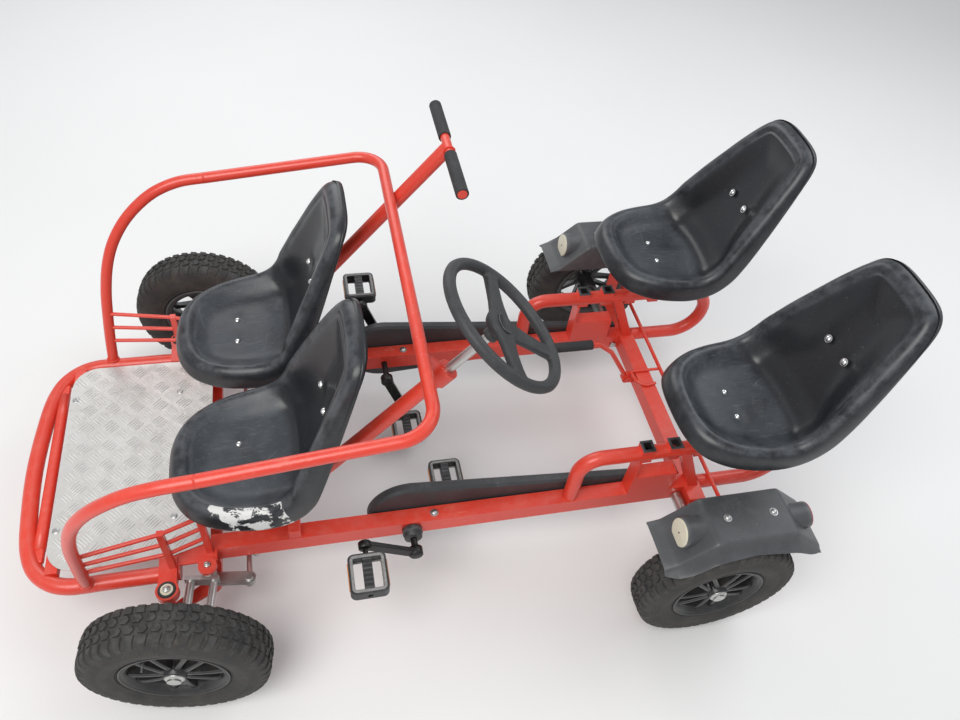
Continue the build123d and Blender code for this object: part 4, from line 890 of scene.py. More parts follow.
def tread_pitch():
    """The blocks of one step of the tread, at the top of the tyre."""
    shoulder = ((23.0, 194.5, 198.8), (32.0, 193.0, 197.4), (39.0, 189.6, 194.4), (43.4, 184.0, 188.8),
                (46.4, 175.5, 178.6))
    points, faces, marks = [], [], []
    for flip in (1, -1):
        shift = 0.0 if flip > 0 else 13.7
        blocks = [
            tread_block([(flip * y, a, b) for y, a, b in shoulder], (17.5, 17.5, 17.0, 15.5, 12.0),
                        (shift, shift + 1.5, shift + 3, shift + 3.5, shift + 4), 0.9),
            tread_block([(flip * y, 195.0, 199.5) for y in (3.0, 11.0, 19.0)], (14.0, 14.0, 14.0),
                        (shift + 6, shift, shift + 6), 0.8),
        ]
        for more, sides in blocks:
            first = len(points)
            points += more
            faces += [tuple(first + k for k in side) for side in sides]
            marks += [1.0 if k % 4 > 1 else 0.0 for k in range(len(more))]
    scaled = [(x / 1000, y / 1000, r / 1000) for x, y, r in points]
    return new_piece("tread_pitch", scaled, faces, TYRE, False, {"tread": marks})


def wall_rib():
    """One thin rib of the side wall, below the shoulder."""
    rows = [[(-0.9, y - 0.4, r), (-0.35, y + 0.55, r), (0.35, y + 0.55, r), (0.9, y - 0.4, r)]
            for y, r in ((47.6, 171.5), (49.2, 162.5), (49.9, 154.0))]
    return skin("wall_rib", rows, TYRE, ring=False, ends=True, smooth=False, marks={"tread": [0.5] * 12})


def tyres():
    """Each tyre is a turned carcass, its tread blocks and the ribs of both side walls."""
    profile = CARCASS + tuple((-y, r) for y, r in reversed(CARCASS[:-1]))
    mark = [1.0 if r > 192 else 0.0 for y, r in profile]
    blocks = [((0, 0, 0), (0, turn, 0), 1.0) for turn in turns(TREAD_PITCHES)]
    ribs = [((0, 0, 0), (0, turn, flip), 1.0) for turn in turns(3 * TREAD_PITCHES) for flip in (0, pi)]
    pitch, rib = tread_pitch(), wall_rib()
    for end, side, s in CORNERS:
        node = f"tyre_{end}_{side}"
        carcass = lathe(node + "_carcass", profile, 138, TYRE, {"tread": mark}, True)
        tread = copies(node + "_tread", pitch, blocks, TYRE)
        walls = copies(node + "_ribs", rib, ribs, TYRE)
        tyre = moved(merged(node + "_rubber", [carcass, tread, walls]), wheel_place(end, s))
        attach(tyre, body_of(node))
        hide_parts(node)
    retire(pitch)
    retire(rib)


tyres()


# Wheel centres: a rolled barrel, five pairs of spokes and a domed zinc cap
BARREL = (
    (38.6, 102.3), (39.4, 113.2), (40.6, 114.4), (42.0, 114.4), (42.6, 113.2), (42.2, 111.6), (40.0, 109.4),
    (38.4, 108.9), (37.6, 107.2), (35.2, 106.2), (30.0, 103.2), (24.0, 98.8), (21.5, 96.6), (10.0, 95.8),
    (-30.0, 96.0), (-38.5, 98.0), (-42.0, 110.0), (-42.0, 114.2), (-39.4, 114.2), (-38.8, 102.3),
)
HUB = (
    (-50.0, 10.6), (-50.0, 22.6), (-48.6, 24.0), (4.0, 24.0), (10.0, 27.5), (27.0, 29.0), (33.0, 27.0),
    (37.0, 24.6), (41.0, 23.9), (43.2, 22.6), (43.5, 20.5), (43.5, 0.0),
)
HUB_CAP = ((43.4, 21.6), (44.6, 21.9), (45.6, 20.6), (47.2, 18.9), (48.6, 15.4), (49.5, 10.4), (50.0, 5.2),
           (50.2, 0.0))
VALVE = ((25.0, 0.0), (25.0, 3.4), (44.0, 3.2), (45.0, 2.2), (52.0, 2.2), (52.6, 0.0))
VALVE_R = 88.0
VALVE_ANGLE = 0.62
SPOKE_ROWS = (
    (20.0, 15.5, 8.4, 12.0, 35.5), (36.0, 17.5, 6.6, 13.0, 36.5), (56.0, 21.0, 6.0, 14.0, 35.5),
    (76.0, 22.6, 6.2, 14.5, 34.0), (92.0, 23.4, 7.4, 15.0, 32.0), (99.5, 23.6, 8.6, 15.0, 31.0),
)


def spoke(s, mirror):
    """One spoke: rows of radius, angle from the wide window, half width, inner and outer face."""
    rows = []
    for r, angle, half, low, high in SPOKE_ROWS:
        way = radians(angle) * mirror
        out = Vector((sin(way), 0, cos(way)))
        aside = Vector((cos(way), 0, -sin(way)))
        profile = ((-half, low), (-half, high - 2.5), (-half * 0.45, high), (half * 0.45, high),
                   (half, high - 2.5), (half, low))
        rows.append([out * r + aside * shift + Vector((0, s * y, 0)) for shift, y in profile])
    return settle(round_edges(skin("spoke", rows, WHEEL, ends=True), 1.2, 2, 25))


def wheel_centre(node, s, place):
    """The barrel, hub, spokes and valve as one moulding, with the zinc cap on it."""
    def turned(part, profile, count, finish=WHEEL, hollow=False):
        return lathe(f"{node}_{part}", [(s * y, r) for y, r in profile], count, finish, hollow=hollow)

    parts = [turned("barrel", BARREL, 96, hollow=True), turned("hub", HUB, 40)]
    for mirror in (1, -1):
        shape = spoke(s, mirror)
        places = [((0, 0, 0), (0, turn, 0), 1.0) for turn in turns(5)]
        parts.append(copies(node + "_spokes", shape, places, WHEEL))
        retire(shape)
    stand = Matrix.Translation(local(VALVE_R * sin(VALVE_ANGLE), 0, VALVE_R * cos(VALVE_ANGLE)))
    parts.append(moved(turned("valve", VALVE, 12), stand))
    piece = moved(merged(node + "_moulding", parts), place)
    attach(piece, body_of(node))
    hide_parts(node)
    button = moved(turned("cap", HUB_CAP, 36, ZINC), place)
    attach(button, body_of(node))


for end, side, s in CORNERS:
    wheel_centre(f"rim_{end}_{side}", s, wheel_place(end, s))


# Mudguards: a folded sheet with a side wall, a flared skirt and two lamp pods
GUARD_LINE = ((180.0, 352.0), (152.0, 362.0), (73.0, 440.0), (-128.0, 440.0), (-216.0, 362.0),
              (-224.0, 350.0))
GUARD_FOLD_R = 9.0
GUARD_INNER_Y = 438.0
GUARD_OUTER_Y = 564.4
# Along the kart: shift, reach and drop of the skirt's lip
SKIRT = (
    (180.0, 0.0, 12.0, 5.0), (156.0, 1.0, 19.0, 14.0), (118.0, 2.0, 24.0, 34.0), (73.0, 0.0, 25.0, 38.0),
    (30.0, 0.0, 23.0, 30.0), (-23.0, 0.0, 21.0, 25.0), (-80.0, -2.0, 23.0, 32.0), (-128.0, -5.0, 25.0, 38.0),
    (-170.0, -7.0, 23.0, 26.0), (-205.0, -6.0, 16.0, 14.0), (-226.0, -2.0, 13.0, 6.0),
)


LENS_SCREW = ((3.2, 0.0), (3.2, 2.6), (4.0, 2.2), (4.3, 0.0))
LAMP_Y = 501.0
LAMP_Z = 402.0
LAMP_TILT = radians(6.5)


def rounded(points, radius, steps):
    """A flat line through points with its inner corners rounded."""
    line = [Vector(points[0])]
    for before, corner, after in zip(points, points[1:], points[2:]):
        corner = Vector(corner)
        back = Vector(before) - corner
        ahead = Vector(after) - corner
        reach = min(radius, back.length * 0.45, ahead.length * 0.45)
        start, stop = corner + back.normalized() * reach, corner + ahead.normalized() * reach
        for i in range(steps + 1):
            t = i / steps
            line.append(start * (1 - t) ** 2 + corner * 2 * t * (1 - t) + stop * t * t)
    line.append(Vector(points[-1]))
    return line


def subdivided(line, longest):
    dense = [line[0]]
    for a, b in zip(line, line[1:]):
        parts = max(1, int((b - a).length / longest + 0.5))
        dense += [a.lerp(b, (i + 1) / parts) for i in range(parts)]
    return dense


def strip(name, rows, finish, thick):
    """A sheet through rows of kart places, given a thickness downward and softly rounded rims."""
    piece = skin(name, rows, finish, ring=False, where=at)
    sheet = piece.modifiers.new("thickness", "SOLIDIFY")
    sheet.thickness = thick / 1000
    sheet.offset = -1.0
    round_edges(piece, thick * 0.3, 2, 50)
    return settle(piece)


def lamp_place(way, start, s):
    """Local Y out of a lamp, which looks forward (way 1) or back (-1) and a little up."""
    axis = Vector((way * cos(LAMP_TILT), 0, sin(LAMP_TILT)))
    return Matrix.Translation(at(start, s * LAMP_Y, LAMP_Z)) @ aimed(axis)


def mudguard(side, s):
    """The folded sheet with its side wall and skirt, and the pods of its two lamps."""
    node = f"mudguard_{side}"
    line = subdivided(rounded([(x, z, 0) for x, z in GUARD_LINE], GUARD_FOLD_R, 5), 14.0)
    front, back = GUARD_LINE[0], GUARD_LINE[-1]
    rows = []
    for place in line:
        x, z = place.x, place.y
        chord = back[1] + (front[1] - back[1]) * (x - back[0]) / (front[0] - back[0])
        shift, reach, drop = between(SKIRT, x)
        end = min(abs(x - front[0]), abs(x - back[0])) / 40
        tuck = 4 * (1 - smooth_step(end))
        across = [(GUARD_INNER_Y, min(chord, z - 1)),
                  (GUARD_INNER_Y, z - min(9.0, (z - chord) * 0.5 + 1)),
                  (440.6, z - 2.4), (446.0, z)]
        across += [(446.0 + 111.0 * k / 8, z + 1.2 * sin(pi * k / 8)) for k in range(1, 9)]
        across += [(561.2, z - 1.3), (GUARD_OUTER_Y, z - 4.6)]
        low_y, low_z = 563.0 + reach - tuck, z - drop - 3
        for k in range(1, 7):
            t = k / 6
            y = GUARD_OUTER_Y + (low_y - GUARD_OUTER_Y) * t ** 1.5
            across.append((y, z - 4.6 + (low_z - z + 4.6) * t ** 0.95))
        across.append((low_y + 3.0, low_z - 1.5))
        count = len(across) - 1
        rows.append([(x + shift * max(0, j - 12) / (count - 12), s * y, h)
                     for j, (y, h) in enumerate(across)])
    shell = strip(node + "_sheet", rows, GUARD, 3.4)
    parts = [shell]
    for way, start, radius in ((1, 133.0, 36.0), (-1, -192.0, 31.5)):
        rows = ((-3.0, 0.0), (-3.0, radius - 2.6), (0.0, radius - 2.4), (0.4, radius - 1.0), (-0.8, radius),
                (-12.0, radius + 0.4), (-34.0, radius + 1.2), (-50.0, radius + 4.0), (-66.0, radius + 9.0))
        parts.append(moved(lathe(node + "_pod", rows, 48, GUARD), lamp_place(way, start, s)))
    guard = merged(node + "_moulding", parts)
    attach(guard, body_of(node))
    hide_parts(node)


def lamps():
    """Flat round lenses in the pods, with a screw in the middle of each."""
    ends = (("front", 1, 133.0, 33.4, CREAM), ("rear", -1, -192.0, 30.4, RED_LENS))
    for end, way, start, radius, finish in ends:
        rows = [(-2.0, 0.0), (-2.0, radius), (1.6, radius), (2.6, radius - 0.8)]
        rows += [(2.9 + 0.5 * k / 8, (radius - 1.6) * (1 - k / 8)) for k in range(9)]
        ring = [r / radius for y, r in rows]
        pieces = []
        for side, s in SIDES:
            place = lamp_place(way, start, s)
            pieces.append(moved(lathe(f"{end}_lens_{side}", rows, 48, finish, {"ring": ring}), place))
            screw = moved(lathe(f"{end}_screw_{side}", LENS_SCREW, 12, BLACK_STEEL), place)
            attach(screw, body_of(f"{end}_lamps"))
        lens = merged(f"{end}_lenses", pieces)
        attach(lens, body_of(f"{end}_lamps"))
        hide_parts(f"{end}_lamps")


for side, s in SIDES:
    mudguard(side, s)
lamps()


# Steering wheel: padded ring, a bar across, a third spoke toward the rear and a blank recess
COLUMN_LEAN = radians(50.0)
COLUMN_UP = Vector((-cos(COLUMN_LEAN), 0, sin(COLUMN_LEAN)))
COLUMN_DOWN = Vector((-sin(COLUMN_LEAN), 0, -cos(COLUMN_LEAN)))
COLUMN_TOP = (653.0, 237.0, 750.0)
WHEEL_RADIUS = 147.0
WHEEL_UP = 149.0


def column_place(distance):
    """Local z up the steering axis, local x to its lower rear side, local y to the right."""
    turn = Matrix((COLUMN_DOWN, Vector((0, -1, 0)), COLUMN_UP)).transposed().to_4x4()
    return Matrix.Translation(at(*COLUMN_TOP) + COLUMN_UP * distance / 1000) @ turn


def torus(name, radius, thickness, around, finish, squash=1.0):
    """A ring in the local XY plane: its thickness at each step, and its section squashed along Z."""
    rows = []
    for way, thick in zip(turns(len(thickness)), thickness):
        section = [(radius + thick * cos(turn), thick * squash * sin(turn)) for turn in turns(around)]
        rows.append([(r * cos(way), r * sin(way), z) for r, z in section])
    return skin(name, rows, finish, loop=True)


def slab(name, rows, finish):
    """A solid through rows of (distance, half width, low, high) along local x."""
    sections = [[(x, -half, low), (x, half, low), (x, half, high), (x, -half, high)]
                for x, half, low, high in rows]
    return skin(name, sections, finish, ends=True)


def steering_wheel():
    """The skin over ring, spokes and boss, with the ring's seam, the blank recess and the collar."""
    lift = Matrix.Translation((0, 0, 0.008))
    parts = [moved(torus("ring", WHEEL_RADIUS, [12.6] * 96, 20, FOAM), lift)]
    rows = ((0, 30, -5, 7), (30, 26, -5, 7.5), (62, 20.5, -4.5, 8.5), (96, 17.5, -4, 10.5),
            (124, 16.5, -3, 13), (144, 20, 0, 16))
    for turn in (88.0, 270.0, 356.0):
        bar = round_edges(slab("bar", rows, FOAM), 4.0, 3, 40)
        parts.append(moved(settle(bar), Matrix.Rotation(radians(turn), 4, "Z")))
    boss = [(-14.0, 0.0), (-14.0, 30.0), (-10.0, 34.0), (-4.0, 37.0), (3.0, 39.5), (7.0, 37.5), (8.6, 33.0),
            (9.2, 0.0)]
    upright = Matrix.Rotation(pi / 2, 4, "X")
    parts.append(moved(lathe("boss", boss, 48, FOAM), upright))
    wheel = merged("steering_wheel_core", parts)
    remesh = wheel.modifiers.new("one_skin", "REMESH")
    remesh.mode = "VOXEL"
    remesh.voxel_size = 0.0024
    remesh.use_smooth_shade = True
    soft = wheel.modifiers.new("soft", "SMOOTH")
    soft.factor = 0.5
    soft.iterations = 6
    settle(wheel)
    wheel.data.materials.clear()
    wheel.data.materials.append(FOAM)
    seam = moved(torus("seam", WHEEL_RADIUS, [12.75] * 96, 6, FOAM, 0.05), lift)
    badge = [(9.0, 0.0), (9.0, 24.0), (10.6, 25.6), (12.0, 25.0), (11.4, 23.0), (10.2, 21.0), (10.0, 0.0)]
    plate = moved(lathe("recess", badge, 40, SMALL), Matrix.Diagonal((0.64, 1.0, 1.0, 1.0)) @ upright)
    neck = ((-34.0, 10.2), (-34.0, 15.6), (-32.0, 16.4), (-14.0, 16.4), (-14.0, 10.2))
    collar = moved(lathe("collar", neck, 32, FOAM, hollow=True), upright)
    whole = moved(merged("steering_wheel_moulding", [wheel, seam, plate, collar]), column_place(WHEEL_UP))
    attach(whole, body_of("steering_wheel"))
    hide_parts("steering_wheel")


steering_wheel()


# Tread plate: five raised bars in each cell, crossed from cell to cell, and four screws
PLATE_X = (1194.0, 1552.0)
PLATE_TOP = 237.0
PLATE_SIDE = 300.0
PLATE_CORNER_R = 62.0
SCREW_R = 11.0
BAR_STEP = 7.0
BAR_LENGTH = 35.0
CELL = 59.0
CELLS = 14
FIRST_CELL = (1504.4, -153.7)
PLATE_SCREWS = ((1539.0, 193.5), (1278.5, 192.0))


def on_plate(x, y, margin):
    """Whether a place lies on the plate, with its round front corners and its taper behind."""
    side = min(PLATE_SIDE, PLATE_SIDE - 28.0 * (1286 - x) / 92.0)
    if not PLATE_X[0] + margin < x < PLATE_X[1] - margin or abs(y) > side - margin:
        return False
    over_x, over_y = x - PLATE_X[1] + PLATE_CORNER_R, abs(y) - PLATE_SIDE + PLATE_CORNER_R
    return min(over_x, over_y) < 0 or hypot(over_x, over_y) < PLATE_CORNER_R - margin


def tread_bar():
    """One raised bar with tapered ends and sloped sides, lying along local X."""
    shape = ((-0.5, 0.15, 0.0), (-0.38, 0.8, 0.8), (0.0, 1.0, 1.0), (0.38, 0.8, 0.8), (0.5, 0.15, 0.0))
    rows = []
    for along, wide, high in shape:
        x, top = along * BAR_LENGTH, 1.5 * high
        rows.append([(x, side * wide, z)
                     for side, z in ((-2.1, -0.3), (-1.2, top), (1.2, top), (2.1, -0.3))])
    marks = {"bar": [0.0, 1.0, 1.0, 0.0] * len(rows)}
    return skin("tread_bar", rows, ALUMINIUM, ends=True, marks=marks)


def tread_plate():
    """The plate and its raised bars, clear of the screws and of the plate's edge."""
    dressed("tread_plate", ALUMINIUM, 0.5)
    places = []
    for i in range(-CELLS, CELLS + 1):
        turn = -pi / 4 if i % 2 else pi / 4
        along, aside = Vector((cos(turn), sin(turn))), Vector((-sin(turn), cos(turn)))
        for j in range(-CELLS + i % 2, CELLS + 1, 2):
            for k in range(-2, 3):
                bar = Vector(FIRST_CELL) + Vector((i, j)) * CELL / 2 + aside * BAR_STEP * k
                ends = [bar + along * way * BAR_LENGTH / 2 for way in (-1, 1)]
                near_screw = any(hypot(bar.x - a, abs(bar.y) - b) < SCREW_R for a, b in PLATE_SCREWS)
                if all(on_plate(*end, 1.5) for end in ends) and not near_screw:
                    places.append((at(*bar, PLATE_TOP), (0, 0, turn), 1.0))
    shape = tread_bar()
    bars = copies("tread_plate_bars", shape, places, ALUMINIUM)
    retire(shape)
    for face in bars.data.polygons:
        face.use_smooth = True
    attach(bars, body_of("tread_plate"))


tread_plate()


# Fasteners: one shape of each kind, copied to its places
UPWARD = (pi / 2, 0, 0)
DOME_BOLT = ((0.0, 0.0), (0.0, 10.5), (1.6, 10.6), (1.8, 8.6), (4.2, 7.8), (6.2, 5.6), (7.2, 2.8), (7.5, 0.0))
FLAT_SCREW = ((-0.4, 0.0), (-0.4, 9.0), (0.8, 9.0), (1.6, 8.0), (2.6, 5.0), (2.2, 2.6), (1.2, 2.2),
              (1.2, 0.0))
NUT = ((0.0, 0.0), (0.0, 8.6), (5.6, 8.6), (6.6, 7.4), (6.8, 5.2), (9.4, 5.0), (9.9, 4.2), (9.9, 0.0))
WASHER = ((0.0, 6.0), (0.0, 14.6), (0.9, 15.0), (1.8, 14.6), (1.8, 6.0))


def fasteners(name, node, profile, places, finish, sides=24):
    """Copies of a turned fastener at places of point, turn and size, on one node's body."""
    shape = lathe(name + "_shape", profile, sides, finish, hollow=profile is WASHER)
    piece = copies(name, shape, places, finish)
    retire(shape)
    for face in piece.data.polygons:
        face.use_smooth = True
    shell = bmesh.new()
    shell.from_mesh(piece.data)
    sharpen(shell, radians(38))
    shell.to_mesh(piece.data)
    shell.free()
    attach(piece, body_of(node))


def outward(normal):
    """The Euler turn that points local Y along a normal."""
    return normal.to_track_quat("Y", "Z").to_euler()[:]


def seat_bolts(node, seat, s, pan_along):
    """Four dome bolts, square to the seat's surface."""
    bolts = seat_bolt_places(pan_along)
    places = []
    for along, across in bolts:
        height = bowl(along, across, 90.0, bolts)
        here = seat_point(seat, s, along, across, height)
        ahead = seat_point(seat, s, along + 5, across, height) - here
        aside = seat_point(seat, s, along, across + 5, height) - here
        places.append((here, outward(ahead.cross(aside).normalized()), 0.92))
    fasteners(node + "_bolts", node, DOME_BOLT, places, CHROME)


for end, side, s in CORNERS:
    seat_bolts(f"seat_{end}_{side}", SEATS[end], s, PAN_ALONG[end])
for side, s in SIDES:
    guard_bolts = [(at(x, s * y, 440.6), UPWARD, 0.95) for x, y in ((27.0, 500.6), (-90.0, 502.0))]
    fasteners(f"mudguard_{side}_bolts", f"mudguard_{side}", DOME_BOLT, guard_bolts, ZINC)
BUSH_BOLT = (1286.0, 382.0)
# Name, node, profile, places, height, size, finish and sides
PAIRED = (
    ("rail_bolts", "rail_left", DOME_BOLT, ((659.0, RAIL_Y),), 234.0, 1.0, ZINC, 24),
    ("plate_screws", "tread_plate", FLAT_SCREW, PLATE_SCREWS, PLATE_TOP, 0.9, ZINC, 24),
    ("bush_nuts", "front_axle", NUT, (BUSH_BOLT,), 241.6, 1.0, ZINC, 6),
    ("bush_washers", "front_axle", WASHER, (BUSH_BOLT,), 240.4, 0.95, CREAM, 24),
    ("kingpin_caps", "platform_frame", NUT, (KINGPIN,), 240.2, 0.9, ZINC, 6),
)
for name, node, profile, spots, z, size, finish, sides in PAIRED:
    places = [(at(x, s * y, z), UPWARD, size) for x, y in spots for s in (1, -1)]
    fasteners(name, node, profile, places, finish, sides)


# Pedals: a black frame with grey tread pads on its rims and amber reflectors at both ends
def pad(name, middle, half, finish, soft):
    """A softly rounded block: its middle in metres, half its size and its rounding in millimetres."""
    points = [middle + local(*(way * size for way, size in zip(ways, half)))
              for ways in product((-1, 1), repeat=3)]
    faces = [(0, 1, 3, 2), (4, 6, 7, 5), (0, 4, 5, 1), (2, 3, 7, 6), (0, 2, 6, 4), (1, 5, 7, 3)]
    return settle(round_edges(new_piece(name, points, faces, finish), soft, 3, 40))


# Their middles from the pedal's own, and half their sizes
CUSHION_CORNER = 11.5
CUSHION_Z = 14.6
CUSHION_HALF = (39.5, 45.5)
STUD_Z = 13.6
STUD_STEP = 11.5
STUD_HALF = (10.5, 1.6, 1.4)
REFLECTOR_X = 43.6
REFLECTOR_HALF = (2.2, 31.0, 7.5)


def cushion_ring(centre, half_x, half_y):
    """A soft rounded frame lying on the pedal's rim."""
    section = ((0.0, -1.0), (0.0, 1.4), (1.6, 2.4), (5.4, 2.4), (7.0, 1.4), (7.0, -1.0))
    rows = []
    for sign_x, sign_y, start in ((1, 1, 0), (-1, 1, 1), (-1, -1, 2), (1, -1, 3)):
        for k in range(9):
            way = pi / 2 * (start + k / 8)
            rows.append([(sign_x * (half_x - CUSHION_CORNER) + (CUSHION_CORNER - inward) * cos(way),
                          sign_y * (half_y - CUSHION_CORNER) + (CUSHION_CORNER - inward) * sin(way), high)
                         for inward, high in section])
    return moved(skin("cushion", rows, GREY_PAD, loop=True), Matrix.Translation(centre))


def pedal(node):
    """Pads round both faces, studs across them and a reflector at each end."""
    dressed(node, SMALL, 1.4)
    corners = [v.co for v in frame["nodes"][node].data.vertices]
    low = Vector([min(c[k] for c in corners) for k in range(3)])
    high = Vector([max(c[k] for c in corners) for k in range(3)])
    middle = (low + high) / 2
    lights = [pad("reflector", middle + local(way * REFLECTOR_X, 0, 0), REFLECTOR_HALF, AMBER, 0.8)
              for way in (1, -1)]
    pads = []
    for face in (1, -1):
        pads.append(cushion_ring(middle + local(0, 0, face * CUSHION_Z), *CUSHION_HALF))
        pads += [pad("stud", middle + local(0, step * STUD_STEP, face * STUD_Z), STUD_HALF, SMALL, 0.5)
                 for step in range(-3, 4)]
    cushions = merged(node + "_pads", pads)
    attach(cushions, body_of(node))
    reflectors = merged(node + "_reflectors", lights)
    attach(reflectors, body_of(node))


for side, s in SIDES:
    for place in ("outer", "inner"):
        pedal(f"pedal_{side}_{place}")


# Weld beads where the tubes meet
def bead(name, node, centre, axis, radius):
    """A wavy weld bead round a tube's end."""
    thickness = [2.3 + 0.5 * sin(way * 13) + 0.3 * sin(way * 7 + 1) for way in turns(40)]
    place = Matrix.Translation(centre) @ aimed(axis) @ Matrix.Rotation(pi / 2, 4, "X")
    ring = moved(torus(name, radius, thickness, 8, RED), place)
    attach(ring, body_of(node))


for side, s in SIDES:
    foot, shoulder = Vector((1462.0, s * 331.0, 212.0)), Vector((1438.0, s * 372.0, 488.0))
    leg = (shoulder - foot).normalized()
    start = foot + leg * 22.0
    bead(f"guard_weld_{side}", "guard_rail", at(*start), leg, 14.0)
bead("column_weld", "steering_tube", at(575.0, -274.0, 926.0) + Vector((0, 0.0145, 0)), (0, 1, 0), 12.5)


# Bent tubes of the front: the loop round the platform and the legs of the guard rail
LOOP_CUT = 1440.0
LOOP_HALF = (
    (1438.0, 328.0), (1470.0, 328.5), (1500.0, 327.0), (1531.0, 318.5), (1560.0, 299.0), (1583.0, 270.0),
    (1598.0, 231.0), (1606.0, 190.0), (1611.0, 140.0), (1616.0, 70.0), (1618.0, 0.0),
)
GUARD_CUT = 1140.0
LOOP_R = 19.0
GUARD_R = 13.5
GUARD_LEG = (
    (1138.0, 437.5, 749.6), (1200.0, 437.0, 741.5), (1255.0, 431.5, 722.0), (1300.0, 424.0, 692.0),
    (1345.0, 413.0, 648.0), (1383.0, 400.0, 592.0), (1410.0, 387.0, 528.0), (1430.0, 372.0, 450.0),
    (1443.0, 357.0, 370.0), (1454.0, 344.0, 290.0), (1462.0, 331.0, 212.0),
)


def tube(name, path, radius, finish, steps=6, around=24):
    """A round tube along a smooth line through kart places, closed at both ends."""
    line = through(path, steps)
    rows = []
    side = Vector((0, 0, 1))
    for i, place in enumerate(line):
        ahead = (line[min(i + 1, len(line) - 1)] - line[max(i - 1, 0)]).normalized()
        side = (side - ahead * side.dot(ahead)).normalized()
        other = ahead.cross(side)
        rows.append([place + (side * cos(turn) + other * sin(turn)) * radius for turn in turns(around)])
    return skin(name, rows, finish, ends=True, where=at)


def platform_front():
    """The loop's round front, the straight tube behind it and the bearer under the plate."""
    dressed("platform_frame", RED, 1.2, 2, LOOP_CUT)
    half = [(x, y, 212.0) for x, y in LOOP_HALF]
    loop = tube("platform_loop", half + [(x, -y, z) for x, y, z in reversed(half[:-1])], LOOP_R, RED, 6, 28)
    inner_path = [(1575.0, y, 216.0) for y in (-228.0, -76.0, 76.0, 228.0)]
    inner = tube("platform_inner_tube", inner_path, 13.5, RED, 2)
    parts = [loop, inner]
    for s in (1, -1):
        parts.append(pad("tab", at(1576.5, s * 242.0, 215.0), (13.5, 20.0, 8.0), RED, 5.0))
    parts.append(pad("bearer", at(1538.5, 0, 222.9), (13.5, 300.0, 10.9), RED, 1.0))
    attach(merged("platform_front", parts), body_of("platform_frame"))


def guard_rail():
    """The rail behind its front bends, and the bent legs in front of them."""
    dressed("guard_rail", RED, 0.6, 2, GUARD_CUT)
    legs = [tube("guard_leg", [(x, s * y, z) for x, y, z in GUARD_LEG], GUARD_R, RED) for s in (1, -1)]
    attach(merged("guard_legs", legs), body_of("guard_rail"))


platform_front()
guard_rail()


# Round bosses of the cranks and the spindle housings on the rails
HOUSING = ((20.0, 0.0), (20.0, 25.0), (34.0, 25.0), (36.0, 23.0), (46.0, 22.0), (47.5, 20.5), (47.5, 0.0))
CRANK_TURNS = {"left": 31.0, "right": 69.0}
CRANK_X = 717.0
CRANK_Z = 205.0
CRANK_ARM = 145.0
CRANK_OUT = 86.0


def crank_bosses(side, s):
    """A boss at both ends of each arm, and the spindle's housing on the rail."""
    node = f"crank_{side}"
    parts, housings = [], []
    for face in (1, -1):
        arm_y = s * RAIL_Y + face * CRANK_OUT
        way = radians(CRANK_TURNS[side] + (0.0 if face * s > 0 else 180.0))
        for x, z, radius, low, high in ((0.0, 0.0, 17.5, -14.0, 9.0),
                                        (CRANK_ARM * cos(way), CRANK_ARM * sin(way), 15.5, -8.0, 11.0)):
            rows = [(low, 0.0), (low, radius - 1.5), (low + 1.5, radius), (high - 2.5, radius),
                    (high, radius - 2.5), (high, 0.0)]
            boss = lathe("boss", [(face * y, r) for y, r in rows], 32, BLACK_STEEL)
            parts.append(moved(boss, Matrix.Translation(at(CRANK_X + x, arm_y, CRANK_Z + z))))
        if face * s > 0:
            housing = lathe("housing", [(face * y, r) for y, r in HOUSING], 36, SMALL)
            housings.append(moved(housing, Matrix.Translation(at(CRANK_X, s * RAIL_Y, CRANK_Z))))
    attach(merged(node + "_bosses", parts), body_of(node))
    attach(merged(node + "_housing", housings), body_of(f"rail_{side}"))


for side, s in SIDES:
    crank_bosses(side, s)


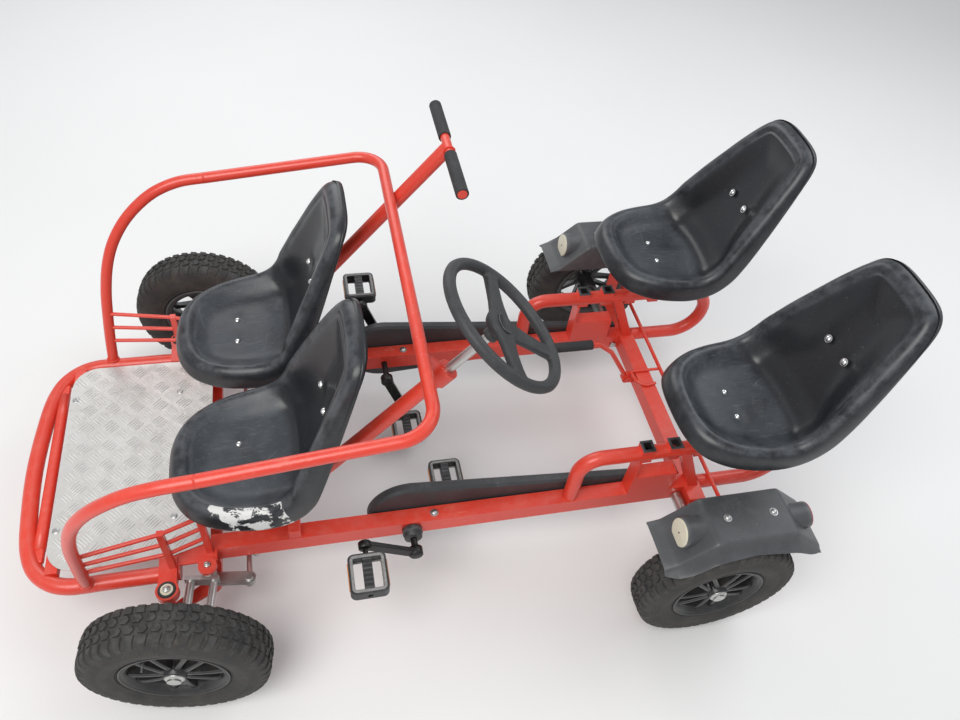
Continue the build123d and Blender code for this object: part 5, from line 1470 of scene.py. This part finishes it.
# Floor, light and camera
def studio():
    """A pale floor, three soft lamps and a dim sky."""
    floor = Finish("pale_floor")
    cloud = floor.noise(1.2, 3.0, 0.5)
    floor.base(cloud, (0.80, 0.795, 0.785), (0.84, 0.835, 0.825))
    floor.done(0.85, floor.bump(floor.noise(60.0, 3.0, 0.6), 0.06, 0.001))
    corners = [(-7, -7, -0.0005), (7, -7, -0.0005), (7, 7, -0.0005), (-7, 7, -0.0005)]
    ground = new_piece("studio_floor", corners, [(0, 1, 2, 3)], floor.material, smooth=False)
    world = bpy.data.worlds.new("soft_room")
    world.use_nodes = True
    bpy.context.scene.world = world
    sky = world.node_tree.nodes["Background"]
    sky.inputs["Color"].default_value = (0.93, 0.96, 1.0, 1.0)
    sky.inputs["Strength"].default_value = 0.55
    for name, place, aim, size, power, tint in (
        ("key_light", (1.6, 1.9, 3.6), (0, 0, 0.4), 2.6, 105.0, (1.0, 0.985, 0.96)),
        ("fill_light", (-2.8, -0.6, 3.0), (0, 0, 0.4), 2.8, 42.0, (0.95, 0.97, 1.0)),
        ("rim_light", (0.6, -3.2, 2.6), (0, 0, 0.5), 2.4, 34.0, (1.0, 1.0, 1.0)),
    ):
        lamp = bpy.data.lights.new(name, "AREA")
        lamp.shape = "DISK"
        lamp.size = size
        lamp.energy = power
        lamp.color = tint
        holder = linked(name, lamp)
        holder.location = place
        holder.rotation_euler = (Vector(aim) - Vector(place)).to_track_quat("-Z", "Y").to_euler()
    bpy.context.scene.view_settings.view_transform = "Standard"


def camera():
    """The photograph's view of 960 by 720: 29.2 mm on a 36 mm frame; the render size is not set here."""
    lens = bpy.data.cameras.new("photo_view")
    lens.sensor_width = 36.0
    lens.sensor_fit = "HORIZONTAL"
    lens.lens = 29.2
    lens.clip_start = 0.05
    holder = linked("photo_view", lens)
    right = Vector((-0.97362, 0.20373, 0.10277))
    up = Vector((-0.08857, -0.75249, 0.65263))
    back = Vector((0.21029, 0.62631, 0.75068))
    turn = Matrix((right, up, back)).transposed().to_4x4()
    holder.matrix_world = Matrix.Translation((0.27625, 1.2356, 1.9594)) @ turn
    bpy.context.scene.camera = holder


studio()
camera()
